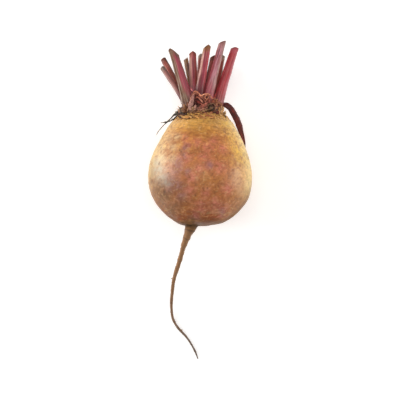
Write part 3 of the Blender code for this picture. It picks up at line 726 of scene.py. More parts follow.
# Painted shade: a thin dark line along the lower outline seen from above.
painted_edge_line_shade = ease(rim_share(0.06) + 0.014 * mottle + 0.016 * patchy, 0.960, 0.998)
painted_edge_line_shade = painted_edge_line_shade * ease(-height + 3 * MM * patchy, -12 * MM, 6 * MM)
ragged = ease(height + 1.6 * MM * mottle, 39.5 * MM, 44.0 * MM)
skin_tint = layered(
    body,
    skin_tint,
    ("#E4BC80", calm * (0.30 * scar_mask + 0.30 * ease(specks, 0.35, 0.75))),
    ("#7E4A28", calm * (0.32 * ease(-specks, 0.25, 0.7) + 0.26 * ease(-mottle, 0.35, 1.0))),
    ("#D49A40", calm * 0.30 * ease(mottle, 0.15, 0.9) * ease(height, -6 * MM, 16 * MM)),
    ("#D2906A", calm * 0.30 * ease(mottle, 0.15, 0.9) * ease(-height, -12 * MM, 6 * MM)),
    ("#96602A", calm * 0.40 * ease(veins, 0.88, 0.99) * yellow_part),
    ("#9C5A2A", 0.40 * lined * ease(long_lines, 0.20, 0.65)),
    ("#DCA868", 0.30 * lined * ease(-long_lines, 0.25, 0.70)),
    ("#6E4618", 0.60 * ease(-height, 28.5 * MM, 32.5 * MM)),
    ("#74491E", 0.46 * painted_outline_shade * (0.8 + 0.5 * mottle)),
    ("#4E2E1C", 0.75 * pit_mask),
    ("#C48E48", 0.75 * ragged),
    ("#7A4E26", 0.70 * ragged * ease(-cork, -0.55, 0.10)),
    ("#DDB070", 0.55 * ragged * ease(cork, 0.70, 1.1)),
    ("#70542F", 0.42 * painted_edge_line_shade * (0.7 + 0.5 * mottle)),
)
tone = sum(share * front_patches(warped, [patch]) for *patch, share in TONES)
# Painted shade: below the middle the skin is made up to 12 percent darker toward the bottom.
skin_tint = skin_tint * (1 + tone - 0.12 * ease(-height, 0.0, 12 * MM))[..., None]
ringed = 0.05 + 0.11 * ease(height, 20 * MM, 32 * MM) + 0.08 * toward_tip
stripes = ringed * rings_fine + 0.11 * mottle + 0.05 * rings_broad
skin_tint = skin_tint * (1 + calm * stripes)[..., None]
matte = np.maximum(ease(-height, 20 * MM, 32 * MM), painted_outline_shade)
print("tones from", round(tone.min(), 2), "to", round(tone.max(), 2))

# %% [markdown]
# The tap root is greyer toward its tip and dark in its cracks. Where it leaves the body, a dark band on the
# tap root and a soft dark line on the body round it are painted shade in the crease between them: each is e
# to the minus square of how far the radius is from a radius of its own at the crease.

# %% The tap root's colours, and the finished root
TAIL_MATTE = 0.6
tail_along = np.linspace(0, 1, TAIL_RINGS)[:, None]
# Painted shade on the tap root, in the crease where it leaves the body.
tail_crease_shade = np.exp(-(((tail_rows[:, 3] - 4.5 * MM) / (0.9 * MM)) ** 2))[:, None] * (0.8 + 2.5 * knots)
tail_tint = layered(
    tail,
    "#926A48",
    ("#6E5C50", ease(tail_along, 0.25, 0.95)),
    ("#5A4332", 0.8 * ease(knots + 3 * cracks, 0.05, 0.20)),
    ("#38281A", 0.85 * tail_crease_shade),
)
# Painted shade on the body, round the crease where the tap root leaves it.
body_crease_shade = np.exp(-(((body_radius - 4.9 * MM) / (0.7 * MM)) ** 2))
skin_tint = layered(
    body,
    skin_tint,
    ("#8E6A48", 0.8 * ease(-body_radius, -7.5 * MM, -4.5 * MM)),
    ("#38281A", 0.85 * body_crease_shade * (0.9 + 0.3 * mottle)),
)
poles = [linear("#7C5230"), linear("#6E5C50")]
root_tints = np.vstack([skin_tint.reshape(-1, 3), tail_tint.reshape(-1, 3), *poles])
matte_marks = np.concatenate([matte.ravel(), np.full(tail[..., 0].size, TAIL_MATTE), [0.0, TAIL_MATTE]])
beet_root = make_piece("beet_root", points, faces, ["root"], root_tints, {"matte": matte_marks})

# %% [markdown]
# Beet skin is a thin cork-like peel, washed and dry, a little waxy. It is a dielectric
# with an IOR near 1.45, and the long soft shine of the soft boxes tells of a roughness
# near 0.45. Where the matte mark is high, its shine and its thin waxy coat fade. Its finest
# marks are lines round the beet about 0.75 mm apart, grains about 0.55 mm wide and crooked
# marks of 1.7 mm. They are noise in the beet's own coordinates, and for the lines a
# Mapping node turns these by the crown's drop and squeezes them round the beet.

# %% Finish: waxy beet skin
PEEL_GRAIN = 0.55 * MM
PEEL_LINES = 0.75 * MM
PEEL_MARKS = 1.7 * MM


def tinted(tree, tint, grain, low, high):
    """The tint times a grey that a grain moves between a low and a high brightness."""
    stops = [(0.32, (low, low, low, 1.0)), (0.68, (high, high, high, 1.0))]
    shade = add_node(tree, "ValToRGB", {"Fac": grain}, stops).outputs["Color"]
    inputs = {FACTOR: 1.0, FIRST: tint, SECOND: shade}
    return add_node(tree, "Mix", inputs, data_type="RGBA", blend_type="MULTIPLY").outputs[MIXED]


def beet_skin():
    """The root's peel: tint, grain, crooked marks, short lines round the beet, and a bump from them."""
    skin, tree, shader = finish_of("waxy_beet_skin", 0.46, 1.45)
    place = add_node(tree, "TexCoord").outputs["Object"]
    turned = {"Vector": place, "Rotation": (CROWN_DROP, 0.0, 0.0), "Scale": (0.35, 1.0, 0.35)}
    round_beet = add_node(tree, "Mapping", turned).outputs["Vector"]
    fine = {"Vector": place, "Scale": 1.0 / PEEL_GRAIN, "Detail": 3.0, "Roughness": 0.55}
    grain = add_node(tree, "TexNoise", fine).outputs["Fac"]
    lined = {"Vector": round_beet, "Scale": 1.0 / PEEL_LINES, "Detail": 4.0, "Roughness": 0.6}
    lines = add_node(tree, "TexNoise", lined).outputs["Fac"]
    crooked = {"Vector": place, "Scale": 1.0 / PEEL_MARKS, "Detail": 3.0, "Distortion": 1.6}
    marks = add_node(tree, "TexNoise", crooked).outputs["Fac"]
    colour = add_node(tree, "Attribute", attribute_name="tint").outputs["Color"]
    for pattern, low, high in ((grain, 0.94, 1.06), (lines, 0.93, 1.06), (marks, 0.88, 1.11)):
        colour = tinted(tree, colour, pattern, low, high)
    relief = add_node(tree, "Math", {0: grain, 1: marks}, operation="ADD").outputs["Value"]
    bump = add_node(tree, "Bump", {"Height": relief, "Distance": 0.12 * MM, "Strength": 0.5})
    matte = add_node(tree, "Attribute", attribute_name="matte").outputs["Fac"]
    ranges = {
        "Specular IOR Level": {"Value": matte, "To Min": 0.38, "To Max": 0.08},
        "Coat Weight": {"Value": matte, "To Min": 0.14, "To Max": 0.0},
        "Roughness": {"Value": marks, "To Min": 0.36, "To Max": 0.56},
    }
    for key, ends in ranges.items():
        feed(tree, shader, {key: add_node(tree, "MapRange", ends).outputs["Result"]})
    feed(tree, shader, {"Base Color": colour, "Coat Roughness": 0.38, "Normal": bump.outputs["Normal"]})
    return skin


beet_root.data.materials.append(beet_skin())
print("peel grain, lines and marks in mm:", *(round(v / MM, 2) for v in (PEEL_GRAIN, PEEL_LINES, PEEL_MARKS)))

# %% [markdown]
# The table is matt white paper. A little light of its own lifts it to the white of the
# photograph's background, which a real studio gets from lamps under the table.

# %% Finish: white paper table
table_finish, table_tree, table_shader = finish_of("white_paper_table", 0.9, 1.5)
paper = {
    "Base Color": (*linear("#F7F7F5"), 1.0),
    "Specular IOR Level": 0.1,
    "Emission Color": (1.0, 1.0, 1.0, 1.0),
    "Emission Strength": 0.36,
}
feed(table_tree, table_shader, paper)
table.data.materials.append(table_finish)
print("table finish:", table_finish.name)

# %% [markdown]
# A leaf stalk of a beet is ribbed on its outer side and has a shallow channel on the
# inner one. It could be a round tube, but then nothing would catch the light along it.
# So its section is drawn in full, and carried from the crown to the knife cut. First
# come the sizes: where each stalk stands and ends, how wide it is and how it was cut.

# %% Sizes of the leaf stalks
# In mm: base across and deep, tip across, deep and high, and the width at the middle. Then
# how far the knife cut rises to the right and to the front, for each mm.
LEAF_STALKS = np.array([
    (-10, -1.2, -27.3, -4.3, 81.8, 4.5, 0.45, 0.2), (-9.2, 4.8, -27.1, 1.7, 90, 5.3, 0.36, -0.2),
    (-8.5, -7.8, -19.6, -15.7, 91.8, 8.2, -0.12, 0.1), (-4.4, 5, -10.3, 5.7, 90.5, 3.8, 0.35, -0.3),
    (-4.6, -4.6, -5.6, -18.5, 90.6, 5.6, 0, -0.2), (-1.2, 0.4, 0.2, -4.6, 91.4, 3.6, 0, 0.1),
    (-1.4, -9.4, 4.9, -22, 94, 5.3, 0.12, 0.1), (3.2, 1.6, 9.4, -4.5, 90.5, 5, 0.2, -0.2),
    (4.6, -8, 16, -18.4, 97.8, 6, 0.24, 0.15), (10.2, 1.2, 16.1, -5.5, 90.6, 5.2, -0.1, -0.2),
    (11.9, -3, 25.1, -11, 95.2, 5.6, 0.02, -0.1), (-6.8, 10.4, -17, 16.5, 89, 5, -0.2, -0.2),
    (-1, 11.2, -5.4, 14, 87.5, 5, 0.15, -0.1), (5.6, 10.2, 10, 16.8, 90.5, 5, 0.1, 0.2),
    (11.2, 6.4, 22, 15.2, 88, 5, 0.2, -0.15),
]) * ([MM] * 6 + [1, 1])
DOME_RADIUS, DOME_CENTRE = 20.0 * MM, 38.0 * MM
STALK_RINGS, STALK_COLUMNS, CUT_RINGS = 72, 56, 7
STALK_FLATNESS, STALK_BOW = 0.80, -0.4 * MM
STALK_SINK = 0.06
CUT_FROM, CUT_HOLLOW = 0.5, 0.35 * MM
# How much farther along the noise each stalk starts, so that no two have the same grain.
GRAIN_STEP = 50 * MM
# For each stalk: how much wider than its row it is, how much more so at its foot, where
# across the cut its highest point is, from -1 at the left to 1 at the right, and how
# steep the cut's two slopes are.
STALK_FORMS = (
    (1.24, 0.10, 0.0, 0.30), (1.20, 0.10, 0.2, 0.35), (0.98, 0.36, -0.45, 0.66), (1.50, 0.00, 0.5, 0.30),
    (1.04, 0.16, 0.10, 0.72), (1.05, 0.20, 0.2, 0.75), (1.06, 0.42, 0.25, 0.65), (0.90, 0.35, 0.3, 0.35),
    (1.04, 0.45, 0.60, 0.14), (0.94, 0.40, 0.0, 0.40), (1.33, 0.35, 0.0, 0.36), (1.00, 0.20, 0.0, 0.50),
    (1.00, 0.20, 0.3, 0.60), (1.00, 0.20, -0.4, 0.60), (1.00, 0.20, 0.5, 0.50),
)
stalk_turn = full_turn(STALK_COLUMNS)
print("stalks:", len(LEAF_STALKS), "from", round(LEAF_STALKS[:, 5].min() / MM, 1), "mm wide")

# %% [markdown]
# The section goes up a slightly bowed line. Each stalk gets fine grooves that run with
# its fibres, an uneven width, a shrivelled end and a base sunk a little into the crown,
# where the stalks grow together. The cut isn't flat: a knife leaves two slopes.

# %% The shape of the leaf stalks


def stalk_section(turn):
    """Side and outward reach of a stalk's section, for half a width of 1.

    Outside it is a flattened half circle with 6 broad and 15 fine ribs. Inside it is
    flatter, the square root of the cosine, less a channel that is its fourth power.
    """
    lean = np.cos(turn)
    ribs = 1 + 0.05 * np.cos(6 * turn) + 0.025 * np.cos(15 * turn)
    inner = 0.75 * np.sqrt(np.abs(lean)) - 0.35 * lean**4
    return np.sin(turn), STALK_FLATNESS * np.where(lean > 0, lean * ribs, -inner)


def cut_slide(ring, along, tip, normal, slopes, apex):
    """How far each point of the last ring slides along the stalk to lie on the knife cut.

    The cut is a plane, less two slopes that fall away from its highest point: the
    distance across from there to the power 1.3.
    """
    to_plane = ((tip - ring) @ normal) / (along @ normal)
    seen = ring[:, 0] - tip[0]
    return to_plane - slopes * (np.abs(seen / np.abs(seen).max() - apex) ** 1.3 - 0.45)


def stalk_surface(number, base_x, base_y, tip_x, tip_y, tip_z, width, rise_x, rise_front):
    """Rings from the crown to the cut, rings across the cut face, and each point's share of the way up.

    The centre line is a quadratic curve whose middle is moved by the bow. The upper half
    of the rings is squeezed evenly, so that the last one lies on the cut.
    """
    base = np.array([base_x, base_y, DOME_CENTRE + math.sqrt(DOME_RADIUS**2 - base_x**2 - base_y**2)])
    tip = np.array([tip_x, tip_y, tip_z])
    wider, foot_wider, apex, slope = STALK_FORMS[number - 1]
    lean = tip - base
    facing = unit(np.array([lean[0], lean[1], 0.0]))
    middle = (base + tip) / 2 + facing * STALK_BOW * 2
    t = np.linspace(-STALK_SINK, 1, STALK_RINGS)[:, None]
    centre = (1 - t) ** 2 * base + 2 * t * (1 - t) * middle + t**2 * tip
    along = unit(2 * (1 - t) * (middle - base) + 2 * t * (tip - middle))
    side = unit(np.cross(along, facing))
    out = np.cross(side, along)
    length = t[:, 0] * np.linalg.norm(lean)
    rod = unrolled(stalk_turn, length, width / 2) + np.array([0.0, 0.0, GRAIN_STEP * number])
    uneven = 0.035 * noise(rod * [0, 0, 1], 8 * MM, 50) + 0.02 * noise(rod * [0, 0, 1], 3 * MM, 51)
    size = wider * (1 + 0.06 * (1 - t) ** 6 + foot_wider * (1 - t) ** 2.5 - 0.10 * t**2 + uneven)
    grooves = 0.07 * noise(rod, np.array([0.8, 0.8, 16]) * MM, 52)
    grooves = grooves + 0.04 * noise(rod, np.array([0.4, 0.4, 9]) * MM, 53)
    shrivel = 0.06 * noise(rod, np.array([2, 2, 1.3]) * MM, 54) * ease(t, 0.70, 1.0)
    across, outward = stalk_section(stalk_turn)
    reach = (width / 2 * size * (1 + grooves + shrivel))[..., None]
    rings = centre[:, None] + reach * (
        across[None, :, None] * side[:, None] + outward[None, :, None] * out[:, None]
    )
    normal = unit(np.array([-rise_x, rise_front, 1.0]))
    slide = cut_slide(rings[-1], along[-1], tip, normal, slope * width / 2, apex)
    squeeze = np.clip((t - CUT_FROM) / (1 - CUT_FROM), 0, 1)
    rings = rings + (squeeze * slide)[..., None] * along[:, None]
    heart = rings[-1].mean(axis=0)
    inward = np.linspace(1, 0, CUT_RINGS + 2)[1:-1, None, None]
    cut = heart + (rings[-1] - heart) * inward - CUT_HOLLOW * (1 - inward**2) * normal
    return rings, cut, heart - CUT_HOLLOW * normal, centre, t, rod


print("outward reach of a section:", np.round(stalk_section(stalk_turn)[1].max(), 2), "of half its width")

# %% [markdown]
# No two stalks have the same colour. Each one has a hue on its left edge, in its middle and on its right
# edge, one at the dry tip and one at its foot, chosen from a short palette. They are blended across and along
# the stalk, and long pale and dark streaks follow its fibres. The cut face is dry and pale, with a dark rim.

# %% The stalks' colours
SAP = {
    "crimson": "#B2363C",
    "rose": "#B4545C",
    "pink": "#BE8A7C",
    "mauve": "#C4808A",
    "plum": "#6A3650",
    "maroon": "#541A1C",
    "brown": "#5E3220",
    "tan": "#75583F",
    "raspberry": "#A03A4A",
    "grey": "#867A6E",
    "olive": "#8A6028",
    "rust": "#98483A",
    "ash": "#A09A86",
    "dusk": "#AE8A84",
    "clay": "#96605A",
}
PITH, STREAK_PALE = "#B49384", "#CCA294"
# Left, middle, right, tip and foot, how far the hues shift to the right at the foot, how
# much its streaks stand out, and how high the foot's hue is full, as a share of the length.
STALK_LOOKS = (
    ("dusk", "clay", "brown", "grey", "maroon", 0.0, 0.9, 0.20),
    ("clay", "rust", "brown", "brown", "maroon", -0.5, 0.8, 0.14),
    ("tan", "raspberry", "clay", "tan", "tan", 0.55, 0.9, 0.00),
    ("olive", "brown", "maroon", "olive", "maroon", 0.0, 0.8, 0.14),
    ("pink", "rose", "rust", "rust", "mauve", 0.1, 1.0, 0.14),
    ("rust", "rust", "crimson", "ash", "maroon", 0.0, 1.0, 0.14),
    ("pink", "raspberry", "crimson", "olive", "maroon", -0.1, 1.0, 0.22),
    ("maroon", "rust", "maroon", "brown", "maroon", 0.0, 0.6, 0.14),
    ("rose", "mauve", "dusk", "clay", "rose", 0.1, 1.5, 0.14),
    ("rust", "rust", "tan", "ash", "rust", 0.0, 0.4, 0.14),
    ("crimson", "crimson", "rose", "rose", "clay", 0.2, 0.35, 0.02),
    ("plum", "crimson", "tan", "brown", "maroon", 0.0, 1.0, 0.14),
    ("mauve", "rose", "brown", "tan", "maroon", 0.0, 1.0, 0.14),
    ("crimson", "plum", "mauve", "olive", "maroon", 0.0, 1.0, 0.14),
    ("tan", "crimson", "plum", "grey", "maroon", 0.0, 1.0, 0.14),
)


def stalk_tint(rings, centre, t, rod, width, look):
    """Left, middle and right hues blended across, foot and tip hues along, with streaks on top."""
    left, middle, right, tip, foot = (SAP[name] for name in look[:5])
    across = (rings[..., 0] - centre[:, None, 0]) / (width / 2) - look[5] * (1 - t)
    across = across + 0.25 * noise(rod, np.array([1.2, 1.2, 14]) * MM, 61)
    pale = noise(rod, np.array([0.50, 0.50, 12]) * MM, 62)
    dark = noise(rod, np.array([0.55, 0.55, 9]) * MM, 63)
    blotch = noise(rod, np.array([1.4, 1.4, 4]) * MM, 65)
    return layered(
        rings,
        left,
        # The left and right hues hold the stalk's own colour and painted light: pale painted highlight along
        # some sides, dark painted shade along others.
        (middle, ease(across, -0.65, -0.30)),
        (right, ease(across, 0.35, 0.75)),
        (STREAK_PALE, 0.42 * look[6] * ease(pale, 0.25, 0.75)),
        (SAP["maroon"], 0.55 * look[6] * ease(dark, 0.22, 0.75)),
        (SAP["rust"], 0.35 * look[6] * ease(blotch, 0.2, 0.8)),
        # The foot hue, the maroon low on the stalk and the brown where it enters the crown are partly its own
        # colour and partly painted shade, where the stalks crowd together.
        (foot, 0.80 * ease(-t + 0.05 * blotch, -0.28 - look[7], -look[7])),
        (SAP["maroon"], 0.45 * ease(-t, -0.30, -0.02) * ease(dark, -0.2, 0.4)),
        (tip, 0.80 * ease(t + 0.03 * pale, 0.86, 0.97)),
        (SAP["brown"], 0.70 * ease(-t + 0.04 * blotch, -0.10, 0.0)),
        (SAP["brown"], 0.60 * ease(t + 0.02 * dark, 0.955, 1.0)),
    )


def cut_tint(cut):
    """A dark dry rim round a pale pith, with a few darker vein ends."""
    share = np.linspace(0, 1, CUT_RINGS)[:, None]
    veins = ease(noise(cut, 0.7 * MM, 64), 0.15, 0.6)
    return layered(cut, "#8A6A60", (PITH, ease(share, 0.1, 0.6)), ("#6A3F3C", 0.6 * veins))


print("hues for the stalks:", ", ".join(sorted({name for look in STALK_LOOKS for name in look[:5]})))

# %% [markdown]
# Each stalk becomes its own piece, in the place of one solid node. Its points are the
# rings of its skin, the rings of its cut face and the two end points. The rod
# coordinates go with them, as if the stalk were straight and stood upright, so that the
# material's fibres can follow it. Edges sharper than 50 degrees stay sharp at the cut.

# %% The stalks as meshes
CUT_ANGLE = math.radians(50)
stalks = []
for number, values in enumerate(LEAF_STALKS, start=1):
    rings, cut, heart, centre, t, rod = stalk_surface(number, *values)
    shell = np.vstack([rings.reshape(-1, 3), cut.reshape(-1, 3), centre[0], heart])
    rod_marks = np.vstack([rod.reshape(-1, 3), cut.reshape(-1, 3), centre[0], heart])
    skin_part = stalk_tint(rings, centre, t, rod, values[5], STALK_LOOKS[number - 1]).reshape(-1, 3)
    ends = [linear(SAP["maroon"]), linear(PITH)]
    tints = np.vstack([skin_part, cut_tint(cut).reshape(-1, 3), *ends])
    name = f"leaf_stalk_{number:02d}"
    quads = capped_quads(STALK_RINGS + CUT_RINGS, STALK_COLUMNS)
    marks = {"rod": rod_marks}
    stalk = make_piece("cut_" + name, lay_down(shell), quads, [name], tints, marks)
    stalk.data.set_sharp_from_angle(angle=CUT_ANGLE)
    stalks.append(stalk)

# %% [markdown]
# A beet's stalk is juicy under a thin glossy skin, so it is a dielectric with an IOR
# near 1.4, smoother than the root's peel. A little coat stands for the skin's gloss.
# Its fibres are about 0.5 mm apart. The material reads the rod coordinates that were
# stored with each point, so the fibres follow every stalk however it leans.

# %% Finish: ribbed leaf stalk
FIBRE_SPACING = 0.5 * MM
STALK_GRAIN = 0.8 * MM


def stalk_skin():
    """The stalks' skin: tint and long fibres, with the same fibres as bump."""
    skin, tree, shader = finish_of("glossy_ribbed_stalk", 0.42, 1.40)
    tint = add_node(tree, "Attribute", attribute_name="tint").outputs["Color"]
    rod = add_node(tree, "Attribute", attribute_name="rod").outputs["Vector"]
    stretched = add_node(tree, "Mapping", {"Vector": rod, "Scale": (1.0, 1.0, 0.05)}).outputs["Vector"]
    long = {"Vector": stretched, "Scale": 1.0 / FIBRE_SPACING, "Detail": 3.0, "Roughness": 0.55}
    fibres = add_node(tree, "TexNoise", long).outputs["Fac"]
    short = {"Vector": rod, "Scale": 1.0 / STALK_GRAIN, "Detail": 3.0, "Roughness": 0.55}
    grain = add_node(tree, "TexNoise", short).outputs["Fac"]
    colour = tinted(tree, tinted(tree, tint, fibres, 0.72, 1.25), grain, 0.90, 1.10)
    bump = add_node(tree, "Bump", {"Height": fibres, "Distance": 0.15 * MM, "Strength": 0.7})
    feed(tree, shader, {"Base Color": colour, "Normal": bump.outputs["Normal"]})
    feed(tree, shader, {"Coat Weight": 0.15, "Coat Roughness": 0.35})
    return skin


stalk_finish = stalk_skin()
for stalk in stalks:
    stalk.data.materials.append(stalk_finish)
print("stalk finish:", stalk_finish.name, "on", len(stalks), "stalks")

# %% [markdown]
# The crown is the beet's short stem. What shows of it is a rough dome, dark between the
# stalks, that breaks over the yellow shoulder in a ragged edge. It could be one lump
# with a bump texture, but its edge shows from every side. So the dome is a grid of rings
# whose radius and height are roughened by noise, coarse at its edge and finer on top.

# %% The crown's dome
CROWN_RADIUS, CROWN_BOTTOM = 16.6 * MM, 45.6 * MM
CAP_SHARE = 0.75
DOME_RINGS, DOME_COLUMNS = 70, 220


def crown_dome():
    """Rings from the top of the dome to its edge, then down and in under it.

    The top is a sphere, and the edge turns down with a cosine. Noise moves each point
    out and up, most at the edge, and cuts the edge's bottom into a ragged line.
    """
    turn = full_turn(DOME_COLUMNS)
    share = np.linspace(0, 1, DOME_RINGS)[:, None]
    cap = np.clip(share / CAP_SHARE, 0, 1)
    wall = np.clip((share - CAP_SHARE) / (1 - CAP_SHARE), 0, 1)
    radius = CROWN_RADIUS * np.sin(cap * math.pi / 2) ** 0.92 - 0.8 * MM * wall**3
    top = DOME_CENTRE + np.sqrt(np.maximum(DOME_RADIUS**2 - (0.985 * radius) ** 2, 0))
    level = top * (1 - wall) + CROWN_BOTTOM * wall
    flat = np.stack([np.cos(turn), np.sin(turn)], axis=-1)
    rough = np.concatenate([flat * radius[..., None], level[..., None] * np.ones((1, len(turn), 1))], -1)
    coarse = noise(rough, 3.0 * MM, 71) + 0.6 * noise(rough, 1.3 * MM, 72)
    fine = noise(rough, 0.6 * MM, 73)
    swell = (0.45 * coarse + 0.22 * fine) * MM * ease(share, 0.1, 0.6)
    rough[..., :2] += flat * swell[..., None]
    rough[..., 2] += (0.35 * coarse + 0.15 * fine) * MM - 0.9 * MM * wall * coarse
    return rough, coarse, fine, share


dome, dome_coarse, dome_fine, dome_share = crown_dome()
# The dark centre, where the stalks stand close, and the dark low spots of the coarse noise are painted shade.
dome_tint = layered(
    dome,
    "#5A2A22",
    ("#3A1214", ease(-dome_share + 0.1 * dome_coarse, -0.55, -0.2)),
    ("#8A5A38", ease(dome_share + 0.12 * dome_coarse, 0.66, 0.86)),
    ("#2E1F18", 0.8 * ease(-dome_coarse, 0.3, 0.8)),
    ("#B5894F", 0.7 * ease(dome_fine, 0.25, 0.7) * ease(dome_share, 0.6, 0.85)),
)
pole_top, pole_low = [0, 0, DOME_CENTRE + DOME_RADIUS], [0, 0, CROWN_BOTTOM]
dome_points = lay_down(np.vstack([dome[1:].reshape(-1, 3), pole_top, pole_low]))
dome_quads = capped_quads(DOME_RINGS - 1, DOME_COLUMNS)
# The top point takes the centre's painted shade.
dome_tints = np.vstack([dome_tint[1:].reshape(-1, 3), linear("#3A1214"), linear("#8A5A38")])
dome_piece = make_piece("crown_dome", dome_points, dome_quads, ["crown"], dome_tints)

# %% [markdown]
# What is left are small things, many of a kind: torn scales, fibres, flakes and strips.
# A mesh for each would be slow, so all of a kind are one array, and one function joins
# them: each thing is a stack of closed rings. Their colours are drawn from a few hues.

# %% Many rods or blades as one piece


def make_rods(name, sections, replaced, tints, marks=None):
    """One piece from many rods or blades: an array of rods, rings, points to a ring, and x, y and z.

    Quads join each rod's rings, and strips of quads lie across its first and last ring.
    Every ring has an even number of points, so its two halves face each other.
    """
    rods, rings, sides = sections.shape[:3]
    low = np.arange(sides // 2 - 1)
    strip = np.stack([low, low + 1, sides - 2 - low, sides - 1 - low], axis=-1)
    one = np.concatenate([grid_quads(rings, sides), strip[:, ::-1], strip + (rings - 1) * sides])
    quads = (one[None] + np.arange(rods)[:, None, None] * rings * sides).reshape(-1, 4)
    return make_piece(name, sections, [quads], replaced, tints, marks)


def drawn_hues(codes, count, seed):
    """A colour for each of many small things, drawn at random from a few."""
    picks = np.random.default_rng(seed).integers(0, len(codes), count)
    return np.array([linear(code) for code in codes])[picks][:, None, None]


print("one of two hues, drawn:", np.round(drawn_hues(("#C8944C", "#7A4824"), 1, 1).ravel(), 3))

# %% [markdown]
# Round the crown stand the torn bases of outer leaves, dozens of thin cupped scales with
# frayed tips, brown and tan where they dried and maroon where they broke lately. Each is
# a small grid, 5 points wide and 7 high, with two faces a leaf's thickness apart. All
# scales are worked out together as one array whose first axis counts the scales.

# %% Torn leaf bases round the crown
SCALES, SCALE_SEED = 130, 12
SCALE_ACROSS, SCALE_UP = 5, 7
SCALE_TALL, SCALE_HALF, SCALE_LOW = 4.4 * MM, 2.1 * MM, 45.4 * MM
GOLDEN_TURN = math.pi * (3 - math.sqrt(5))
# Scales whose direction points this far to the front go elsewhere: the torn tissue is there.
CLEAR_FRONT = 0.80


def two_sided(middle, out, thickness):
    """Blade points from a middle surface: out by half the thickness, then back along the inner face."""
    half = out * (thickness / 2)[..., None]
    return np.concatenate([middle + half, (middle - half)[:, :, ::-1]], axis=2)


def torn_scales():
    """Places round the crown by the golden turn, each scale cupped, leaning out and frayed at its tip."""
    draw = np.random.default_rng(SCALE_SEED)
    number = np.arange(SCALES)
    turn = number * GOLDEN_TURN + draw.uniform(-0.15, 0.15, SCALES)
    turn = np.where(-np.sin(turn) > CLEAR_FRONT, turn + draw.uniform(0.9, 5.4, SCALES), turn)
    level = draw.uniform(0, 1, SCALES)
    size = draw.uniform(0.50, 1.15, SCALES)
    lean = np.radians(draw.uniform(-30, 26, SCALES))
    twist = draw.uniform(-0.8, 0.8, SCALES)
    out = np.stack([np.cos(turn), np.sin(turn), 0 * turn], axis=-1)[:, None, None]
    side = np.stack([-np.sin(turn), np.cos(turn), 0 * turn], axis=-1)[:, None, None]
    rise = np.linspace(0, 1, SCALE_UP)[None, :, None]
    across = np.linspace(-1, 1, SCALE_ACROSS)[None, None, :]
    size_of, count = size[:, None, None], number[:, None, None]
    edge_places = np.stack(np.broadcast_arrays(across * 1.9, 0 * rise, count * 7.3), axis=-1)
    face_places = np.stack(np.broadcast_arrays(across * 1.5, rise * 2.5, count * 3.7), axis=-1)
    frayed = noise(edge_places, 1, 81)
    tall = (SCALE_TALL * size_of) * (1 - 0.35 * across**2 * rise + 0.40 * frayed * rise)
    half = SCALE_HALF * size_of * (1 - 0.45 * rise**1.5)
    curl = lean[:, None, None] * (0.4 + 0.9 * rise)
    foot = (CROWN_RADIUS + 0.3 * MM - 2.9 * MM * level**1.5)[:, None, None]
    start = (SCALE_LOW + 4.6 * MM * level)[:, None, None]
    cup = -0.9 * MM * size_of * across**2
    wave = 0.35 * MM * noise(face_places, 1, 82)
    reach = foot + cup + wave + tall * rise * np.sin(curl)
    lift = start + tall * rise * np.cos(curl)
    sway = across * half + twist[:, None, None] * 1.6 * MM * rise**2
    middle = reach[..., None] * out + sway[..., None] * side + lift[..., None] * np.array([0, 0, 1.0])
    thickness = (0.75 - 0.50 * rise) * MM * (1 - 0.5 * across**4) * np.ones_like(reach)
    return two_sided(middle, out, thickness), rise


scales, scale_rise = torn_scales()
SCALE_HUES = ("#6B4430", "#8C5A40", "#4A1E1C", "#9E7448", "#7A3E38", "#B58C56", "#3F2C22", "#93625A")
scale_tint = layered(
    scales,
    drawn_hues(SCALE_HUES, SCALES, SCALE_SEED + 1),
    ("#3A1A16", 0.7 * ease(-scale_rise, -0.45, 0.0)),
    ("#B9936A", 0.45 * ease(scale_rise, 0.75, 1.0)),
)
scale_piece = make_rods("torn_leaf_bases", lay_down(scales), ["crown"], scale_tint)

# %% [markdown]
# In front of the stalks one leaf has been torn off and left a hollow stump, open toward
# the viewer: low in front, high behind, with a frayed pink rim that curls forward. It
# could be a cup cut out of a lump, but its rim would stay sharp. Here one surface goes
# up the outside, over the rim and down the inside, and noise frays it.

# %% The torn stump
STUMP_CENTRE = np.array([-0.0004, -0.0138, 0.0488])
STUMP_HALF = (9.2 * MM, 3.6 * MM)
STUMP_LOW, STUMP_WALL = 2.0 * MM, 1.0 * MM
# The rim's height in mm over the stump's foot, from left (-1) to right (1).
RIM = (
    (-1.0, 4.0), (-0.85, 9.5), (-0.60, 12.9), (-0.33, 13.1), (-0.10, 11.7),
    (0.11, 10.1), (0.38, 10.5), (0.64, 10.9), (0.88, 10.2), (1.0, 6.0),
)
STUMP_RINGS, STUMP_COLUMNS = 60, 160


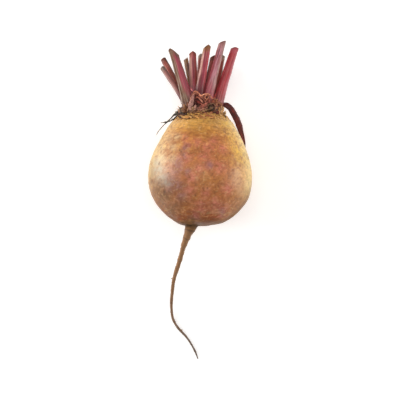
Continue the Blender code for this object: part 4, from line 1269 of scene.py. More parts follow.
def torn_stump():
    """Rings up the outside, over the rim and down the inside of an oval cup.

    The wall's height follows the rim's table behind and eases to a low edge in front.
    Along the rings a path runs from 0 at the outer foot over 0.5 at the rim to 1 at the
    inner floor.
    """
    turn = full_turn(STUMP_COLUMNS)
    path = np.linspace(0, 1, STUMP_RINGS)[:, None]
    rise = np.where(path < 0.5, path * 2, 2 - path * 2) ** 0.85
    inset = ease(path, 0.40, 0.60)
    back = ease(np.sin(turn), -0.25, 0.45)
    frayed = noise(np.stack([np.cos(turn) * 3, np.sin(turn) * 3, 0 * turn], -1), 1, 91)
    rim_place, rim_height = np.array(RIM).T
    high = np.interp(np.cos(turn), rim_place, rim_height) * MM
    wall = STUMP_LOW * (1 - back) + high * back + 0.35 * MM * np.sin(11 * turn) + 0.4 * MM * frayed * back
    lift = wall * rise
    half_x = STUMP_HALF[0] * (1 - 0.12 * rise) - STUMP_WALL * inset
    half_y = STUMP_HALF[1] - STUMP_WALL * inset
    curl = 1.9 * MM * back * ease(rise, 0.72, 1.0) * (0.7 + 0.6 * frayed)
    x = half_x * np.cos(turn)
    y = half_y * np.sin(turn) - 0.33 * lift - curl
    points = np.stack(np.broadcast_arrays(x, y, lift), axis=-1) + STUMP_CENTRE
    wrinkles = noise(points, np.array([0.9, 0.9, 4.0]) * MM, 92) + 0.6 * noise(points, 0.8 * MM, 93)
    points[..., 1] += 0.45 * MM * wrinkles
    points[..., 0] += 0.18 * MM * noise(points, 1.4 * MM, 94)
    return points, path, rise, back * np.ones_like(path), wrinkles


stump, stump_path, stump_rise, stump_back, stump_wrinkles = torn_stump()
STUMP_OUTSIDE = "#8E5A4A"
inner_tint = layered(
    stump,
    STUMP_OUTSIDE,
    # Painted shadow: the left half of the inside is dark crimson, shade in the hollow.
    ("#5B1A16", 1.0 - ease(stump[..., 0], -1.5 * MM, 1.5 * MM)),
    ("#7E4430", ease(stump[..., 0], -1.0 * MM, 2.0 * MM)),
)
outer_tint = linear(STUMP_OUTSIDE)
stump_tint = layered(
    stump,
    outer_tint + (inner_tint - outer_tint) * ease(stump_path, 0.52, 0.66)[..., None],
    ("#A86A58", 0.5 * ease(stump_wrinkles, 0.1, 0.8)),
    ("#B9765A", 0.9 * ease(stump_rise, 0.78, 0.95) * stump_back),
    ("#7E3226", 0.7 * ease(stump_rise, 0.5, 0.9) * ease(-stump_wrinkles, 0.0, 0.7)),
    ("#6B4433", 0.7 * ease(-stump_rise, -0.35, 0.0) * (stump_path < 0.5)),
)
foot_point = STUMP_CENTRE - [0.0, 0.0, 0.6 * MM]
floor_point = STUMP_CENTRE + [0.0, 0.0, 0.4 * MM]
stump_points = lay_down(np.vstack([stump.reshape(-1, 3), foot_point, floor_point]))
stump_quads = capped_quads(STUMP_RINGS, STUMP_COLUMNS)
stump_tints = np.vstack([stump_tint.reshape(-1, 3), linear("#6B4433"), linear("#3A1214")])
stump_piece = make_piece("torn_leaf_stump", stump_points, stump_quads, ["crown"], stump_tints)

# %% [markdown]
# Thin things come next: the wilted stalk is a limp strap that hangs over the shoulder,
# the dry wisp on the left is three dead leaf veins, and everywhere round the crown short
# pale fibres stick out where leaves were pulled off. A strap or a fibre is a section
# carried along a path, so one function makes them all, many at a time. The first is the
# wilted stalk: creased lengthwise, with a channel down its upper side.

# %% Straps and fibres along paths, and the wilted stalk


def carried_sections(paths, across, over, sides):
    """Oval sections along paths: at each step a ring, across by one half width and over by another.

    paths has the shape (fibres, steps, 3). The rings stand square to the path, with their
    first axis level.
    """
    along = unit(np.gradient(paths, axis=1))
    side = unit(np.cross(along, np.array([0.0, 0.0, 1.0])) + 1e-9)
    up = np.cross(side, along)
    turn = full_turn(sides, 0.5)
    round_x = np.cos(turn)[None, None, :, None] * side[:, :, None]
    round_y = np.sin(turn)[None, None, :, None] * up[:, :, None]
    return paths[:, :, None] + round_x * across[..., None, None] + round_y * over[..., None, None]


# Place and width along the wilted stalk, in mm.
WILTED_STALK = np.array([
    (15, 49.8, 29.2, 3), (16, 51.6, 29.7, 3.4), (18.5, 52.4, 30.1, 3.8), (21.9, 50.1, 29.7, 4.3),
    (24.8, 45.3, 28, 4.6), (27.3, 40.1, 25.2, 4.6), (29.1, 34.6, 21.8, 4.2), (30.7, 29.8, 18.2, 3.3),
    (31.9, 24.8, 14.2, 2.4), (32.4, 20, 10.2, 1.8), (32.5, 14.5, 6.4, 1.5), (31.6, 9, 3.4, 1.2),
]) * MM
WILTED_STEPS, WILTED_SIDES = 150, 40
WILTED_FLATNESS, CHANNEL_DEPTH = 0.42, 0.35 * MM

wilted_rows = smooth_curve(WILTED_STALK, even_places(WILTED_STALK, WILTED_STEPS))
half_width = wilted_rows[None, :, 3] / 2
wilted = carried_sections(wilted_rows[None, :, :3], half_width, half_width * WILTED_FLATNESS, WILTED_SIDES)
wilted_turn = full_turn(WILTED_SIDES, 0.5)
wilted_length = np.cumsum(np.linalg.norm(np.gradient(wilted_rows[:, :3], axis=0), axis=1))
wilted_rod = unrolled(wilted_turn, wilted_length, 1.8 * MM)
crease = noise(wilted_rod, np.array([0.8, 0.8, 12]) * MM, 101)
crease = crease + 0.4 * noise(wilted_rod, np.array([2, 2, 1.6]) * MM, 102)
wilted = wilted[0] + (wilted[0] - wilted_rows[:, None, :3]) * 0.22 * crease[..., None]
channel = np.exp(-((np.cos(wilted_turn) / 0.35) ** 2)) * (np.sin(wilted_turn) > 0)
wilted[..., 2] -= CHANNEL_DEPTH * channel
wilted_tint = layered(
    wilted,
    "#5C2018",
    # Crease crests are painted lighter red and the hollows dark: painted highlight and painted shade.
    ("#7C2A20", ease(crease, 0.0, 0.7)),
    ("#2E1715", 0.8 * ease(-crease, 0.1, 0.8)),
    ("#5A3A28", 0.7 * ease(np.linspace(0, 1, WILTED_STEPS)[:, None], 0.6, 1.0)),
)
rod_mark = {"rod": wilted_rod}
wilted_piece = make_rods(
    "wilted_leaf_stalk", wilted[None], ["wilted_stalk"], wilted_tint, rod_mark
)

# %% [markdown]
# The front of the crown is torn leaf tissue: a mauve wing left of the hollow, a curled orange-pink rim, loops
# and strands inside it, an olive pocket under a pale arch, and straw-coloured scales at the right. Noise
# can't place these, so each is a short strap with its own path, width and two colours, laid over the crown
# one by one.

# %% Torn tissue in front
# Colours at the start and the end, then across, depth, height and half a width in mm.
TORN_STRIPS = (
    ("#9C4450", "#B8707A", (-7.6, -14.4, 66.4, 0.2), (-6.6, -14.8, 64.6, 0.5), (-5.5, -15.4, 62.6, 0.6)),
    ("#A68A84", "#A0706C", (-7.4, -17.2, 48.2, 1.2), (-7.3, -17.9, 51.0, 1.6), (-6.5, -18.1, 53.2, 1.6),
     (-5.7, -17.8, 55.6, 1.3), (-5.1, -17.2, 58.4, 1.0), (-4.8, -16.6, 61.6, 0.6)),
    ("#9A7A68", "#B08A80", (-4.1, -17.4, 48.2, 1.0), (-3.7, -18.0, 50.2, 1.1), (-3.3, -18.2, 52.2, 0.6)),
    ("#A8664C", "#E0A080", (-5.3, -16.8, 61.2, 0.4), (-4.0, -17.1, 62.1, 0.6), (-2.6, -17.3, 61.9, 0.55),
     (-1.2, -17.6, 60.6, 0.5), (0.3, -18.0, 59.1, 0.6), (1.8, -18.2, 58.7, 0.7)),
    ("#F0B494", "#B4684E", (0.9, -18.2, 58.9, 0.5), (3.0, -18.2, 59.7, 0.5), (4.9, -18.0, 60.2, 0.45),
     (6.5, -17.8, 59.8, 0.45), (7.6, -17.6, 58.4, 0.5), (8.6, -17.2, 56.9, 0.45),
     (10.2, -16.4, 57.2, 0.3)),
    ("#A8604A", "#C08878", (-3.4, -17.2, 57.0, 0.35), (-2.2, -17.8, 57.9, 0.45), (-0.8, -18.1, 57.1, 0.6),
     (0.4, -18.3, 55.7, 0.6), (1.4, -18.4, 54.4, 0.45), (2.4, -18.3, 53.4, 0.3)),
    ("#8A4438", "#A86A5C", (-2.9, -17.4, 60.4, 0.3), (-1.2, -17.8, 59.2, 0.4), (0.6, -18.2, 57.8, 0.4),
     (2.2, -18.4, 56.4, 0.4), (3.2, -18.5, 55.2, 0.25)),
    # A painted shadow: the dark centre of the loop.
    ("#3A1210", "#481814", (3.9, -17.9, 58.2, 0.5), (4.6, -17.9, 57.8, 0.8), (5.2, -17.9, 57.3, 0.5)),
    ("#B47454", "#D09078", (6.0, -17.9, 59.0, 0.3), (4.6, -18.2, 59.1, 0.4), (3.6, -18.3, 58.4, 0.45),
     (3.5, -18.4, 57.2, 0.45), (4.3, -18.5, 56.3, 0.4), (5.4, -18.3, 56.6, 0.35), (5.9, -18.1, 57.7, 0.3)),
    ("#9C5C42", "#BC7868", (4.6, -18.2, 56.4, 0.35), (4.4, -18.3, 55.4, 0.45), (3.7, -18.4, 54.7, 0.5),
     (2.9, -18.4, 54.0, 0.3)),
    # A painted shadow in the hollow, dark crimson.
    ("#7A241C", "#8E3A2C", (-2.6, -17.2, 55.0, 0.5), (-1.0, -17.7, 54.2, 0.7), (0.4, -18.0, 53.0, 0.4)),
    ("#8A4A36", "#A8684C", (8.6, -16.2, 53.6, 0.8), (9.6, -15.6, 56.0, 1.0), (10.6, -14.6, 58.4, 0.6)),
    ("#A83428", "#8A2A22", (9.6, -15.0, 57.4, 0.5), (10.5, -14.4, 59.2, 0.6), (11.0, -13.8, 61.0, 0.3)),
    ("#8A5238", "#B8845C", (10.2, -15.6, 53.0, 0.8), (11.4, -15.0, 55.0, 1.0), (12.4, -14.0, 57.0, 0.5)),
    ("#6A3A22", "#8A5834", (12.2, -15.2, 51.6, 0.9), (13.4, -14.6, 53.8, 1.0), (14.4, -13.4, 55.8, 0.5)),
    ("#A87A50", "#8A5638", (14.2, -14.2, 50.4, 0.8), (15.0, -13.8, 52.6, 0.8), (15.4, -12.8, 54.6, 0.4)),
    ("#C8A078", "#A87050", (9.0, -16.9, 57.2, 0.25), (10.2, -16.6, 56.5, 0.35), (11.4, -16.2, 56.4, 0.3),
     (12.4, -15.8, 57.0, 0.15)),
    ("#B08060", "#7A4A30", (11.2, -16.3, 52.8, 0.3), (12.4, -16.1, 53.8, 0.35), (13.8, -15.4, 53.4, 0.25),
     (14.8, -14.8, 52.2, 0.15)),
    # A dark strap that is a painted shadow.
    ("#4A2014", "#5A2A1A", (10.4, -15.9, 50.6, 0.5), (11.2, -15.8, 52.4, 0.6), (11.9, -15.4, 54.0, 0.3)),
    ("#A05848", "#BC7868", (0.2, -18.3, 53.4, 0.4), (1.6, -18.6, 52.3, 0.5), (3.2, -18.5, 52.6, 0.5),
     (4.4, -18.2, 53.8, 0.3)),
    ("#9A5A4C", "#A86458", (-0.6, -18.1, 51.4, 0.4), (1.4, -18.4, 51.2, 0.5), (3.4, -18.5, 51.9, 0.4),
     (5.4, -18.1, 54.2, 0.4)),
    ("#7A3428", "#8E4636", (5.6, -17.8, 56.9, 0.6), (6.3, -17.8, 55.2, 0.8), (6.4, -17.8, 53.6, 0.5)),
    ("#463818", "#38301A", (7.4, -17.2, 48.2, 1.3), (7.5, -17.4, 50.2, 1.9), (8.0, -17.2, 52.2, 1.3)),
    ("#8E5648", "#8F5F50", (-0.9, -18.1, 50.0, 0.5), (1.5, -18.3, 50.2, 0.6), (3.6, -18.3, 51.1, 0.5),
     (5.2, -18.0, 52.6, 0.4)),
    ("#9C7260", "#8A5E4C", (-2.0, -18.1, 48.5, 0.6), (0.8, -18.4, 48.6, 0.8), (3.4, -18.4, 49.4, 0.7),
     (5.4, -18.1, 50.8, 0.4)),
    ("#A5845F", "#7E6A4E", (0.8, -18.3, 47.0, 0.6), (3.0, -18.5, 47.8, 0.8), (5.0, -18.3, 48.6, 0.5),
     (6.8, -18.0, 49.0, 0.3)),
    ("#7C4A34", "#8A5A40", (1.9, -18.0, 46.4, 0.5), (3.6, -18.2, 46.3, 0.8), (5.6, -18.0, 45.6, 0.5)),
    ("#6E5A40", "#8C6650", (5.2, -17.7, 51.2, 0.4), (6.3, -17.8, 52.6, 0.5), (8.3, -17.5, 53.2, 0.5),
     (10.1, -16.9, 52.8, 0.5), (10.8, -16.6, 51.0, 0.5), (10.6, -16.5, 49.0, 0.5),
     (9.9, -16.5, 47.4, 0.4)),
    ("#80523C", "#A0664E", (11.0, -16.0, 49.2, 0.8), (11.5, -16.0, 51.6, 0.9), (12.1, -15.6, 54.2, 0.8),
     (12.8, -15.0, 56.4, 0.4)),
    ("#B98A6E", "#A8785A", (11.2, -16.5, 50.0, 0.5), (12.0, -16.5, 50.3, 0.6), (12.6, -16.2, 49.9, 0.4)),
    ("#94703C", "#A97F52", (12.8, -15.8, 47.6, 0.6), (13.7, -15.7, 49.2, 0.7), (13.5, -15.5, 51.0, 0.6)),
    ("#A8884C", "#D8BC94", (15.4, -13.8, 46.0, 0.7), (16.1, -14.0, 48.4, 0.9), (16.5, -13.6, 50.4, 0.8),
     (16.2, -12.9, 52.0, 0.4)),
    ("#A5894C", "#CDB184", (17.2, -11.8, 45.2, 0.8), (17.8, -11.6, 47.2, 0.9), (18.0, -11.0, 49.0, 0.4)),
    ("#5A2414", "#6A3220", (11.4, -16.4, 45.8, 0.9), (12.4, -16.6, 46.9, 1.1), (13.6, -16.0, 46.5, 0.8)),
    ("#56280F", "#6A3A1E", (9.3, -17.0, 46.4, 0.6), (9.9, -17.1, 47.8, 0.7), (10.2, -16.8, 49.0, 0.4)),
    ("#B0804E", "#A06848", (6.4, -17.6, 45.2, 0.7), (7.7, -17.7, 46.3, 0.9), (8.8, -17.4, 47.2, 0.5)),
    ("#6A4222", "#7A5638", (-11.5, -14.4, 46.8, 0.9), (-10.9, -15.2, 49.6, 1.2),
     (-10.4, -15.0, 52.2, 0.9)),
    ("#8E6C50", "#B08E74", (-9.3, -16.2, 47.8, 0.5), (-9.0, -16.5, 49.6, 0.6), (-8.6, -16.2, 51.2, 0.4)),
    # A painted shadow between the big stalk's foot and the mauve wing.
    ("#5A3018", "#6E4028", (-8.9, -16.4, 49.6, 0.6), (-9.2, -16.8, 52.0, 0.8), (-8.9, -16.4, 54.6, 0.5)),
    ("#6A4426", "#84603E", (-11.9, -15.0, 48.6, 0.7), (-11.4, -15.6, 51.0, 0.9),
     (-11.6, -15.2, 53.4, 0.5)),
    ("#5A4A34", "#6E624A", (-13.4, -12.8, 46.4, 0.8), (-14.0, -12.6, 48.8, 1.0),
     (-14.6, -11.8, 50.6, 0.7), (-15.3, -11.0, 51.8, 0.3)),
    ("#5C4426", "#866A4A", (-12.7, -13.8, 46.0, 0.9), (-12.4, -14.2, 48.2, 1.1),
     (-12.9, -13.6, 50.4, 0.7)),
    ("#8A7050", "#A08468", (-5.7, -17.2, 47.2, 0.8), (-5.4, -17.9, 49.4, 0.9), (-5.0, -18.0, 51.0, 0.5)),
    ("#7A5428", "#9A7244", (-2.6, -17.8, 46.6, 0.7), (-1.0, -18.1, 47.4, 0.8), (0.4, -17.9, 46.8, 0.5)),
    ("#3E2410", "#4A2C14", (-11.8, -18.2, 42.0, 0.3), (-9.5, -19.6, 41.7, 0.4), (-6.9, -20.6, 42.1, 0.3)),
    ("#1C1410", "#2A1E14", (-16.4, -10.9, 46.6, 0.7), (-14.6, -13.0, 46.9, 0.8),
     (-12.4, -15.1, 46.7, 0.7)),
    ("#241810", "#382414", (-12.9, -15.0, 45.8, 0.5), (-11.0, -16.3, 45.6, 0.6), (-9.4, -17.2, 45.8, 0.4)),
    ("#4A3418", "#5A4020", (-0.4, -19.0, 45.7, 0.3), (0.9, -19.5, 45.3, 0.5), (2.2, -19.7, 45.0, 0.3)),
    ("#5A3814", "#6A4418", (-7.4, -18.6, 44.6, 0.25), (-6.4, -19.4, 44.0, 0.35),
     (-5.4, -20.0, 43.6, 0.25)),
    ("#E0BC78", "#E4C48C", (-8.0, -18.9, 43.6, 0.3), (-6.9, -19.8, 43.0, 0.4), (-5.8, -20.3, 42.9, 0.3)),
    ("#5A3A18", "#7A5020", (-3.8, -19.4, 45.0, 0.25), (-2.6, -19.9, 44.9, 0.35), (-1.6, -19.9, 45.1, 0.2)),
    ("#6A3A24", "#7A4A2C", (6.6, -20.9, 42.1, 0.2), (8.4, -20.6, 41.9, 0.3), (10.2, -19.7, 42.2, 0.2)),
    ("#E8D0A0", "#D8B878", (15.2, -14.0, 52.4, 0.2), (15.5, -14.6, 49.4, 0.28), (15.0, -15.0, 46.4, 0.28),
     (15.3, -15.0, 43.8, 0.2)),
    ("#F0DCB0", "#D0B070", (14.4, -14.9, 49.4, 0.2), (14.0, -15.5, 47.0, 0.25), (14.5, -15.6, 44.4, 0.2)),
    ("#3A3220", "#4A4228", (17.6, -10.8, 47.0, 0.4), (18.0, -11.2, 45.2, 0.5), (18.7, -11.4, 43.3, 0.35)),
    ("#4A2E18", "#6A4420", (-15.6, -13.4, 43.4, 0.3), (-14.0, -15.2, 42.8, 0.4),
     (-12.2, -16.8, 42.4, 0.3)),
    ("#B07838", "#C08A48", (-10.9, -17.0, 43.5, 0.4), (-9.6, -18.0, 43.2, 0.6), (-8.1, -18.6, 43.3, 0.4)),
    ("#3E2410", "#5A3416", (-6.2, -20.4, 42.4, 0.3), (-4.8, -20.8, 42.2, 0.35), (-3.4, -21.1, 42.3, 0.2)),
    ("#C08C48", "#D8A860", (-3.4, -20.0, 44.0, 0.4), (-2.2, -21.2, 42.8, 0.5), (-1.2, -21.9, 42.0, 0.3)),
    ("#8E5A34", "#AC7444", (-0.4, -20.2, 44.4, 0.4), (1.4, -21.2, 43.0, 0.5), (2.9, -21.9, 42.1, 0.4),
     (4.2, -22.3, 41.3, 0.2)),
    ("#98603E", "#BC8654", (3.2, -20.2, 44.3, 0.5), (6.0, -20.1, 43.9, 0.7), (8.6, -19.5, 43.6, 0.6),
     (10.6, -18.7, 43.4, 0.4)),
    ("#DCAC6C", "#D49E5C", (5.8, -21.0, 42.8, 0.3), (7.8, -20.7, 42.6, 0.45), (9.8, -19.8, 42.7, 0.3)),
    ("#5A2418", "#6E3424", (10.8, -16.0, 45.2, 0.5), (12.2, -15.6, 44.2, 0.7), (13.2, -15.6, 43.2, 0.4)),
    ("#D8B880", "#C09A58", (16.4, -9.5, 46.4, 0.4), (17.2, -10.2, 44.6, 0.5), (17.6, -11.0, 43.2, 0.3)),
    ("#3A2A18", "#4E3A20", (-16.6, -10.6, 45.6, 0.5), (-15.4, -12.4, 44.4, 0.6),
     (-13.8, -14.2, 43.6, 0.4)),
    ("#4A3018", "#6A4624", (-14.6, -12.6, 46.4, 0.5), (-13.0, -14.4, 45.4, 0.6),
     (-11.6, -15.6, 44.8, 0.4)),
    ("#A8907A", "#8E857A", (-12.4, -12.6, 52.2, 0.2), (-13.4, -12.2, 53.6, 0.15),
     (-14.2, -11.8, 55.2, 0.12), (-14.0, -11.5, 57.2, 0.08)),
)
print("torn strips:", len(TORN_STRIPS), "with", sum(len(strip) - 2 for strip in TORN_STRIPS), "points")

# %% [markdown]
# A strip is as wide as its table says, rounded off at both ends, and much thinner than wide. Its edges droop,
# noise crumples it, and its folds get painted shade in their hollows and a painted highlight on their crests.

# %% The torn strips as one piece
STRIP_STEPS, STRIP_SIDES = 44, 18
# The dried tissue is warmer than its palette: a share for red, green and blue.
STRIP_WARMTH = np.array([1.10, 0.90, 0.78])

strip_rows = [smooth_curve(strip[2:], even_places(strip[2:], STRIP_STEPS)) * MM for strip in TORN_STRIPS]
strip_rows = np.array(strip_rows)
strip_paths = lay_down(strip_rows[..., :3])
strip_along = np.linspace(0, 1, STRIP_STEPS)[None]
strip_half = strip_rows[..., 3] * (1 + 0.26 * noise(strip_paths, 0.8 * MM, 131))
strip_half = strip_half * np.sqrt(np.clip(1 - (2 * strip_along - 1) ** 8, 0.04, 1))
strips = carried_sections(strip_paths, strip_half, 0.22 * MM + 0.18 * strip_half, STRIP_SIDES)
strip_folds = noise(strips, 0.7 * MM, 132)
strips[..., 2] += 0.30 * MM * noise(strips, 1.3 * MM, 133) + 0.22 * MM * strip_folds
strips[..., 2] -= 0.36 * strip_half[..., None] * np.cos(full_turn(STRIP_SIDES, 0.5)) ** 2
strip_ends = np.array([[linear(code) for code in strip[:2]] for strip in TORN_STRIPS])[:, :, None, None]
strip_base = strip_ends[:, 0] + (strip_ends[:, 1] - strip_ends[:, 0]) * strip_along[..., None, None]
strip_tint = layered(
    strips,
    strip_base,
    # Painted shade in the fold hollows and painted highlight on the crests.
    ("#4A1410", 0.70 * ease(-strip_folds, 0.10, 0.7)),
    ("#E0A484", 0.35 * ease(strip_folds, 0.3, 0.9)),
)
strip_piece = make_rods("torn_tissue", strips, ["crown"], strip_tint * STRIP_WARMTH)

# %% [markdown]
# Where leaves were pulled off, the bundles inside them stay behind as short fibres. They
# could be hair particles, but real rods take the same light as the scales. Each starts
# in the crown, leaves it at a random slant and bends. Their colours run from straw to
# maroon.

# %% Short fibres all round the crown
FIBRES, FIBRE_SEED = 420, 31
FIBRE_STEPS, FIBRE_SIDES = 7, 4
FIBRE_LOW = 45.8 * MM
FIBRE_HUES = ("#C9A878", "#8A5A40", "#A8685C", "#5A2A20", "#B99070", "#6E5238")


def crown_fibres():
    """Paths of short fibres: a start on the crown's flank, a slant up or down, and a bend in two ways."""
    draw = np.random.default_rng(FIBRE_SEED)
    turn = draw.uniform(0, 2 * math.pi, FIBRES)
    level = draw.uniform(0, 1, FIBRES) ** 1.4
    start = np.stack([np.cos(turn), np.sin(turn), 0 * turn], axis=-1)
    start = start * (CROWN_RADIUS - 3.0 * MM * level)[:, None]
    start[:, 2] = FIBRE_LOW + 5.6 * MM * level
    out = unit(start * np.array([1.0, 1.0, 0.0]))
    side = np.cross(out, np.array([0.0, 0.0, 1.0]))
    slant = draw.uniform(-0.9, 1.5, FIBRES)[:, None] * np.array([0.0, 0.0, 1.0])
    aim = out * draw.uniform(0.1, 0.8, FIBRES)[:, None] + side * draw.normal(0, 0.7, FIBRES)[:, None]
    aim = unit(aim + slant)
    length = draw.uniform(1.2, 4.2, FIBRES)[:, None, None] * MM
    bend = unit(draw.normal(size=(FIBRES, 3)))[:, None] * 0.35 * length
    step = np.linspace(0, 1, FIBRE_STEPS)[None, :, None]
    path = start[:, None] + aim[:, None] * length * step + bend * step**2
    radii = draw.uniform(0.07, 0.20, FIBRES)[:, None] * MM * (1 - 0.75 * step[..., 0])
    return lay_down(path), radii


fibre_paths, fibre_radii = crown_fibres()
fibres = carried_sections(fibre_paths, fibre_radii, fibre_radii, FIBRE_SIDES)
fibre_tint = layered(fibres, drawn_hues(FIBRE_HUES, FIBRES, FIBRE_SEED + 1))
fibre_piece = make_rods("crown_fibres", fibres, ["crown"], fibre_tint)

# %% [markdown]
# The border between the crown and the yellow shoulder is corky: small curled flakes and
# lumps in straw, orange and brown hide where one ends and the other starts. They are
# short rods too, each laid on the shoulder in a random direction, and their distance from
# the axis follows the root's outline, so that they stay on its surface.

# %% Corky flakes on the shoulder
FLAKES, FLAKE_SEED = 230, 41
FLAKE_STEPS, FLAKE_SIDES = 7, 6
FLAKE_TOP = 45.9 * MM
FLAKE_HUES = ("#C8944C", "#B07434", "#7A4824", "#D6A85C", "#5E3A1C", "#C08848", "#A8683A")


def shoulder_flakes():
    """Paths on the shoulder: turn and height change evenly, the radius comes from the root's outline."""
    draw = np.random.default_rng(FLAKE_SEED)
    turn = draw.uniform(0, 2 * math.pi, FLAKES)[:, None]
    start = FLAKE_TOP - (3.0 * MM * draw.uniform(0, 1, FLAKES) ** 2.2)[:, None]
    angle = draw.uniform(-1.2, 1.2, FLAKES)[:, None]
    length = draw.uniform(1.0, 3.0, FLAKES)[:, None] * MM
    step = np.linspace(-0.5, 0.5, FLAKE_STEPS)[None, :]
    bend = draw.uniform(-0.5, 0.5, FLAKES)[:, None] * length * (step**2 - 0.1)
    level = start + length * step * np.sin(angle) + bend * np.cos(angle)
    radius = outline_radius(level) + 0.10 * MM
    turn = turn + (length * step * np.cos(angle) - bend * np.sin(angle)) / radius
    path = np.stack([radius * np.cos(turn) + crown_shift(level), radius * np.sin(turn), level], axis=-1)
    thick = draw.uniform(0.20, 0.55, FLAKES)[:, None] * MM * np.sqrt(np.maximum(1 - (2 * step) ** 4, 0.05))
    return lay_down(path), thick


flake_paths, flake_radii = shoulder_flakes()
flakes = carried_sections(flake_paths, flake_radii, flake_radii * 0.7, FLAKE_SIDES)
flakes = flakes + 0.18 * MM * noise(flakes, 0.8 * MM, 141)[..., None] * unit(flakes - flake_paths[:, :, None])
flake_tint = layered(flakes, drawn_hues(FLAKE_HUES, FLAKES, FLAKE_SEED + 1))
flake_piece = make_rods("corky_flakes", flakes, [], flake_tint)

# %% [markdown]
# The dry wisp is what the bundles inside a dead leaf leave behind: nearly black strands,
# uneven in thickness, that spring from a knot at the crown's edge. Three rods follow the
# photograph's strands and cross where its two branches meet, thickened and thinned by
# noise.

# %% The dry wisp
# Place and radius along each strand, in mm.
DRY_FIBRES = (
    (
        (-15.6, 46.6, 33, 1), (-16.7, 46.1, 34.6, 1.7), (-18.1, 45.8, 33.6, 0.7),
        (-19.3, 45.2, 32.3, 0.36), (-21.2, 43, 31.9, 0.3), (-25.1, 39.2, 30.8, 0.32),
        (-28.3, 35.8, 29.4, 0.28), (-30.9, 32.7, 28.2, 0.24), (-32.4, 29.8, 27, 0.14),
    ),
    (
        (-16.6, 44.5, 31.8, 0.7), (-18.4, 42.4, 32.6, 0.8), (-20.4, 41.4, 32.5, 0.6),
        (-22.4, 40.4, 32, 0.36), (-25.1, 39.8, 31.2, 0.42), (-29.1, 39.3, 30.2, 0.16),
    ),
    (
        (-17.6, 45.2, 32.6, 0.5), (-19.6, 44.2, 32.6, 0.34), (-21.6, 42, 32.2, 0.36),
        (-24, 39.9, 31.4, 0.4), (-26.2, 38, 30.4, 0.2),
    ),
)
WISP_STEPS, WISP_SIDES = 110, 12

wisp_rows = [smooth_curve(strand, even_places(strand, WISP_STEPS)) * MM for strand in DRY_FIBRES]
wisp_rows = np.array(wisp_rows)
wisp_radius = wisp_rows[..., 3] * (1 + 0.30 * noise(wisp_rows[..., :3], 1.6 * MM, 111))
wisp = carried_sections(wisp_rows[..., :3], wisp_radius, wisp_radius, WISP_SIDES)
wisp = wisp + 0.10 * MM * noise(wisp, 0.7 * MM, 112)[..., None] * unit(wisp - wisp_rows[:, :, None, :3])
wisp_tint = layered(wisp, "#38352B", ("#7C7058", 0.7 * ease(noise(wisp, 1.8 * MM, 113), 0.0, 0.8)))
wisp_piece = make_rods("dry_wisp", wisp, ["dry_fibres"], wisp_tint)

# %% [markdown]
# Hair roots and rootlet stubs grow out of the tap root, each thinner toward its tip. The
# stubs stand where the solid model's do; the finer ones stand at random. All of them
# start inside the tap root, so no gap shows at their feet.

# %% Rootlets on the tap root
# How far down the tap root from 0 to 1, turn round it in degrees, length and radius.
ROOTLET_STUBS = (
    (0.285, 180, 0.8 * MM, 0.90 * MM),
    (0.335, 185, 1.0 * MM, 0.70 * MM),
    (0.430, -15, 1.8 * MM, 0.55 * MM),
    (0.750, 170, 1.3 * MM, 0.90 * MM),
)
HAIR_ROOTS, HAIR_ROOT_SEED = 40, 21
ROOTLET_STEPS, ROOTLET_SIDES = 14, 8


def rootlets():
    """Paths from inside the tap root outward and down, bent a little, with radii that taper to a third."""
    draw = np.random.default_rng(HAIR_ROOT_SEED)
    fine = np.column_stack(
        [
            draw.uniform(0.06, 0.97, HAIR_ROOTS),
            draw.uniform(-30, 210, HAIR_ROOTS),
            draw.uniform(0.6, 2.0, HAIR_ROOTS) * MM,
            draw.uniform(0.10, 0.20, HAIR_ROOTS) * MM,
        ]
    )
    share, degrees, length, radius = np.vstack([ROOTLET_STUBS, fine]).T
    row = smooth_curve(TAP_ROOT, share)
    along = unit(smooth_curve(TAP_ROOT, share + 0.01)[:, :3] - smooth_curve(TAP_ROOT, share - 0.01)[:, :3])
    level = unit(np.cross(along, [0.0, 0.0, 1.0]))
    high = np.cross(level, along)
    turn = np.radians(degrees)[:, None]
    aim = unit(np.cos(turn) * level + np.sin(turn) * high + 0.5 * along)
    bend = unit(draw.normal(size=aim.shape)) * (0.25 * length)[:, None]
    step = np.linspace(0, 1, ROOTLET_STEPS)[None, :, None]
    inside = (0.5 * row[:, 3])[:, None]
    path = row[:, None, :3] + (aim * inside)[:, None] + (aim * length[:, None])[:, None] * step
    path = path + bend[:, None] * step**2
    radii = radius[:, None] * (1 - 0.7 * step[..., 0])
    path[..., 2] = np.maximum(path[..., 2], radii + TABLE_CLEARANCE)
    return path, radii


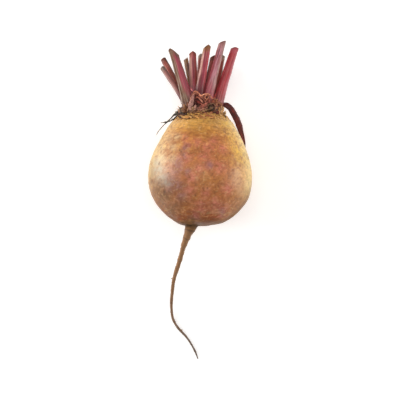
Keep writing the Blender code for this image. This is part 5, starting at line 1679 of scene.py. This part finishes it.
rootlet_paths, rootlet_radii = rootlets()
rootlet_points = carried_sections(rootlet_paths, rootlet_radii, rootlet_radii, ROOTLET_SIDES)
rootlet_grain = ease(noise(rootlet_points, 1.5 * MM, 121), -0.2, 0.6)
rootlet_tint = layered(rootlet_points, "#8A6A4C", ("#5C4636", rootlet_grain))
rootlet_piece = make_rods("rootlets", rootlet_points, [], rootlet_tint)
rootlet_piece.data.materials.append(bpy.data.materials["waxy_beet_skin"])

# %% [markdown]
# Crown tissue, the wilted stalk and the wisp are all dead or wounded plant fibre: dull,
# with a streaky grain and an IOR near 1.45. One function builds the three finishes. Each
# gets its own grain size, and a roughness of 0.5 for the limp stalk, 0.62 for torn
# tissue and 0.8 for dry fibre, since dry fibre scatters light more than moist.

# %% Finishes: torn, wilted and dry fibre
FIBRE_IOR = 1.45


def fibre_finish(name, roughness, grain, stretch):
    """Tint times a streaky grain, as wide as given and longer by the stretch, with a bump from it."""
    finish, tree, shader = finish_of(name, roughness, FIBRE_IOR)
    place = add_node(tree, "TexCoord").outputs["Object"]
    turned = {"Vector": place, "Rotation": (CROWN_DROP, 0.0, 0.0), "Scale": (1.0, 1.0 / stretch, 1.0)}
    streaked = add_node(tree, "Mapping", turned).outputs["Vector"]
    streaks = {"Vector": streaked, "Scale": 1.0 / grain, "Detail": 4.0, "Roughness": 0.6}
    fine = add_node(tree, "TexNoise", streaks).outputs["Fac"]
    broad = {"Vector": place, "Scale": 1.0 / (2.5 * grain), "Detail": 3.0, "Roughness": 0.55}
    lumps = add_node(tree, "TexNoise", broad).outputs["Fac"]
    tint = add_node(tree, "Attribute", attribute_name="tint").outputs["Color"]
    colour = tinted(tree, tinted(tree, tint, fine, 0.70, 1.30), lumps, 0.78, 1.22)
    bump = add_node(tree, "Bump", {"Height": fine, "Distance": 0.25 * MM, "Strength": 0.8})
    feed(tree, shader, {"Base Color": colour, "Normal": bump.outputs["Normal"]})
    return finish


torn_crown = fibre_finish("torn_crown_tissue", 0.62, 0.5 * MM, 3.0)
crown_pieces = (dome_piece, scale_piece, stump_piece, strip_piece, fibre_piece, flake_piece)
for piece in crown_pieces:
    piece.data.materials.append(torn_crown)
wilted_piece.data.materials.append(fibre_finish("wilted_limp_stalk", 0.50, 0.4 * MM, 2.0))
wisp_piece.data.materials.append(fibre_finish("dry_leaf_fibre", 0.80, 0.3 * MM, 2.0))
print("finishes:", sorted(material.name for material in bpy.data.materials))
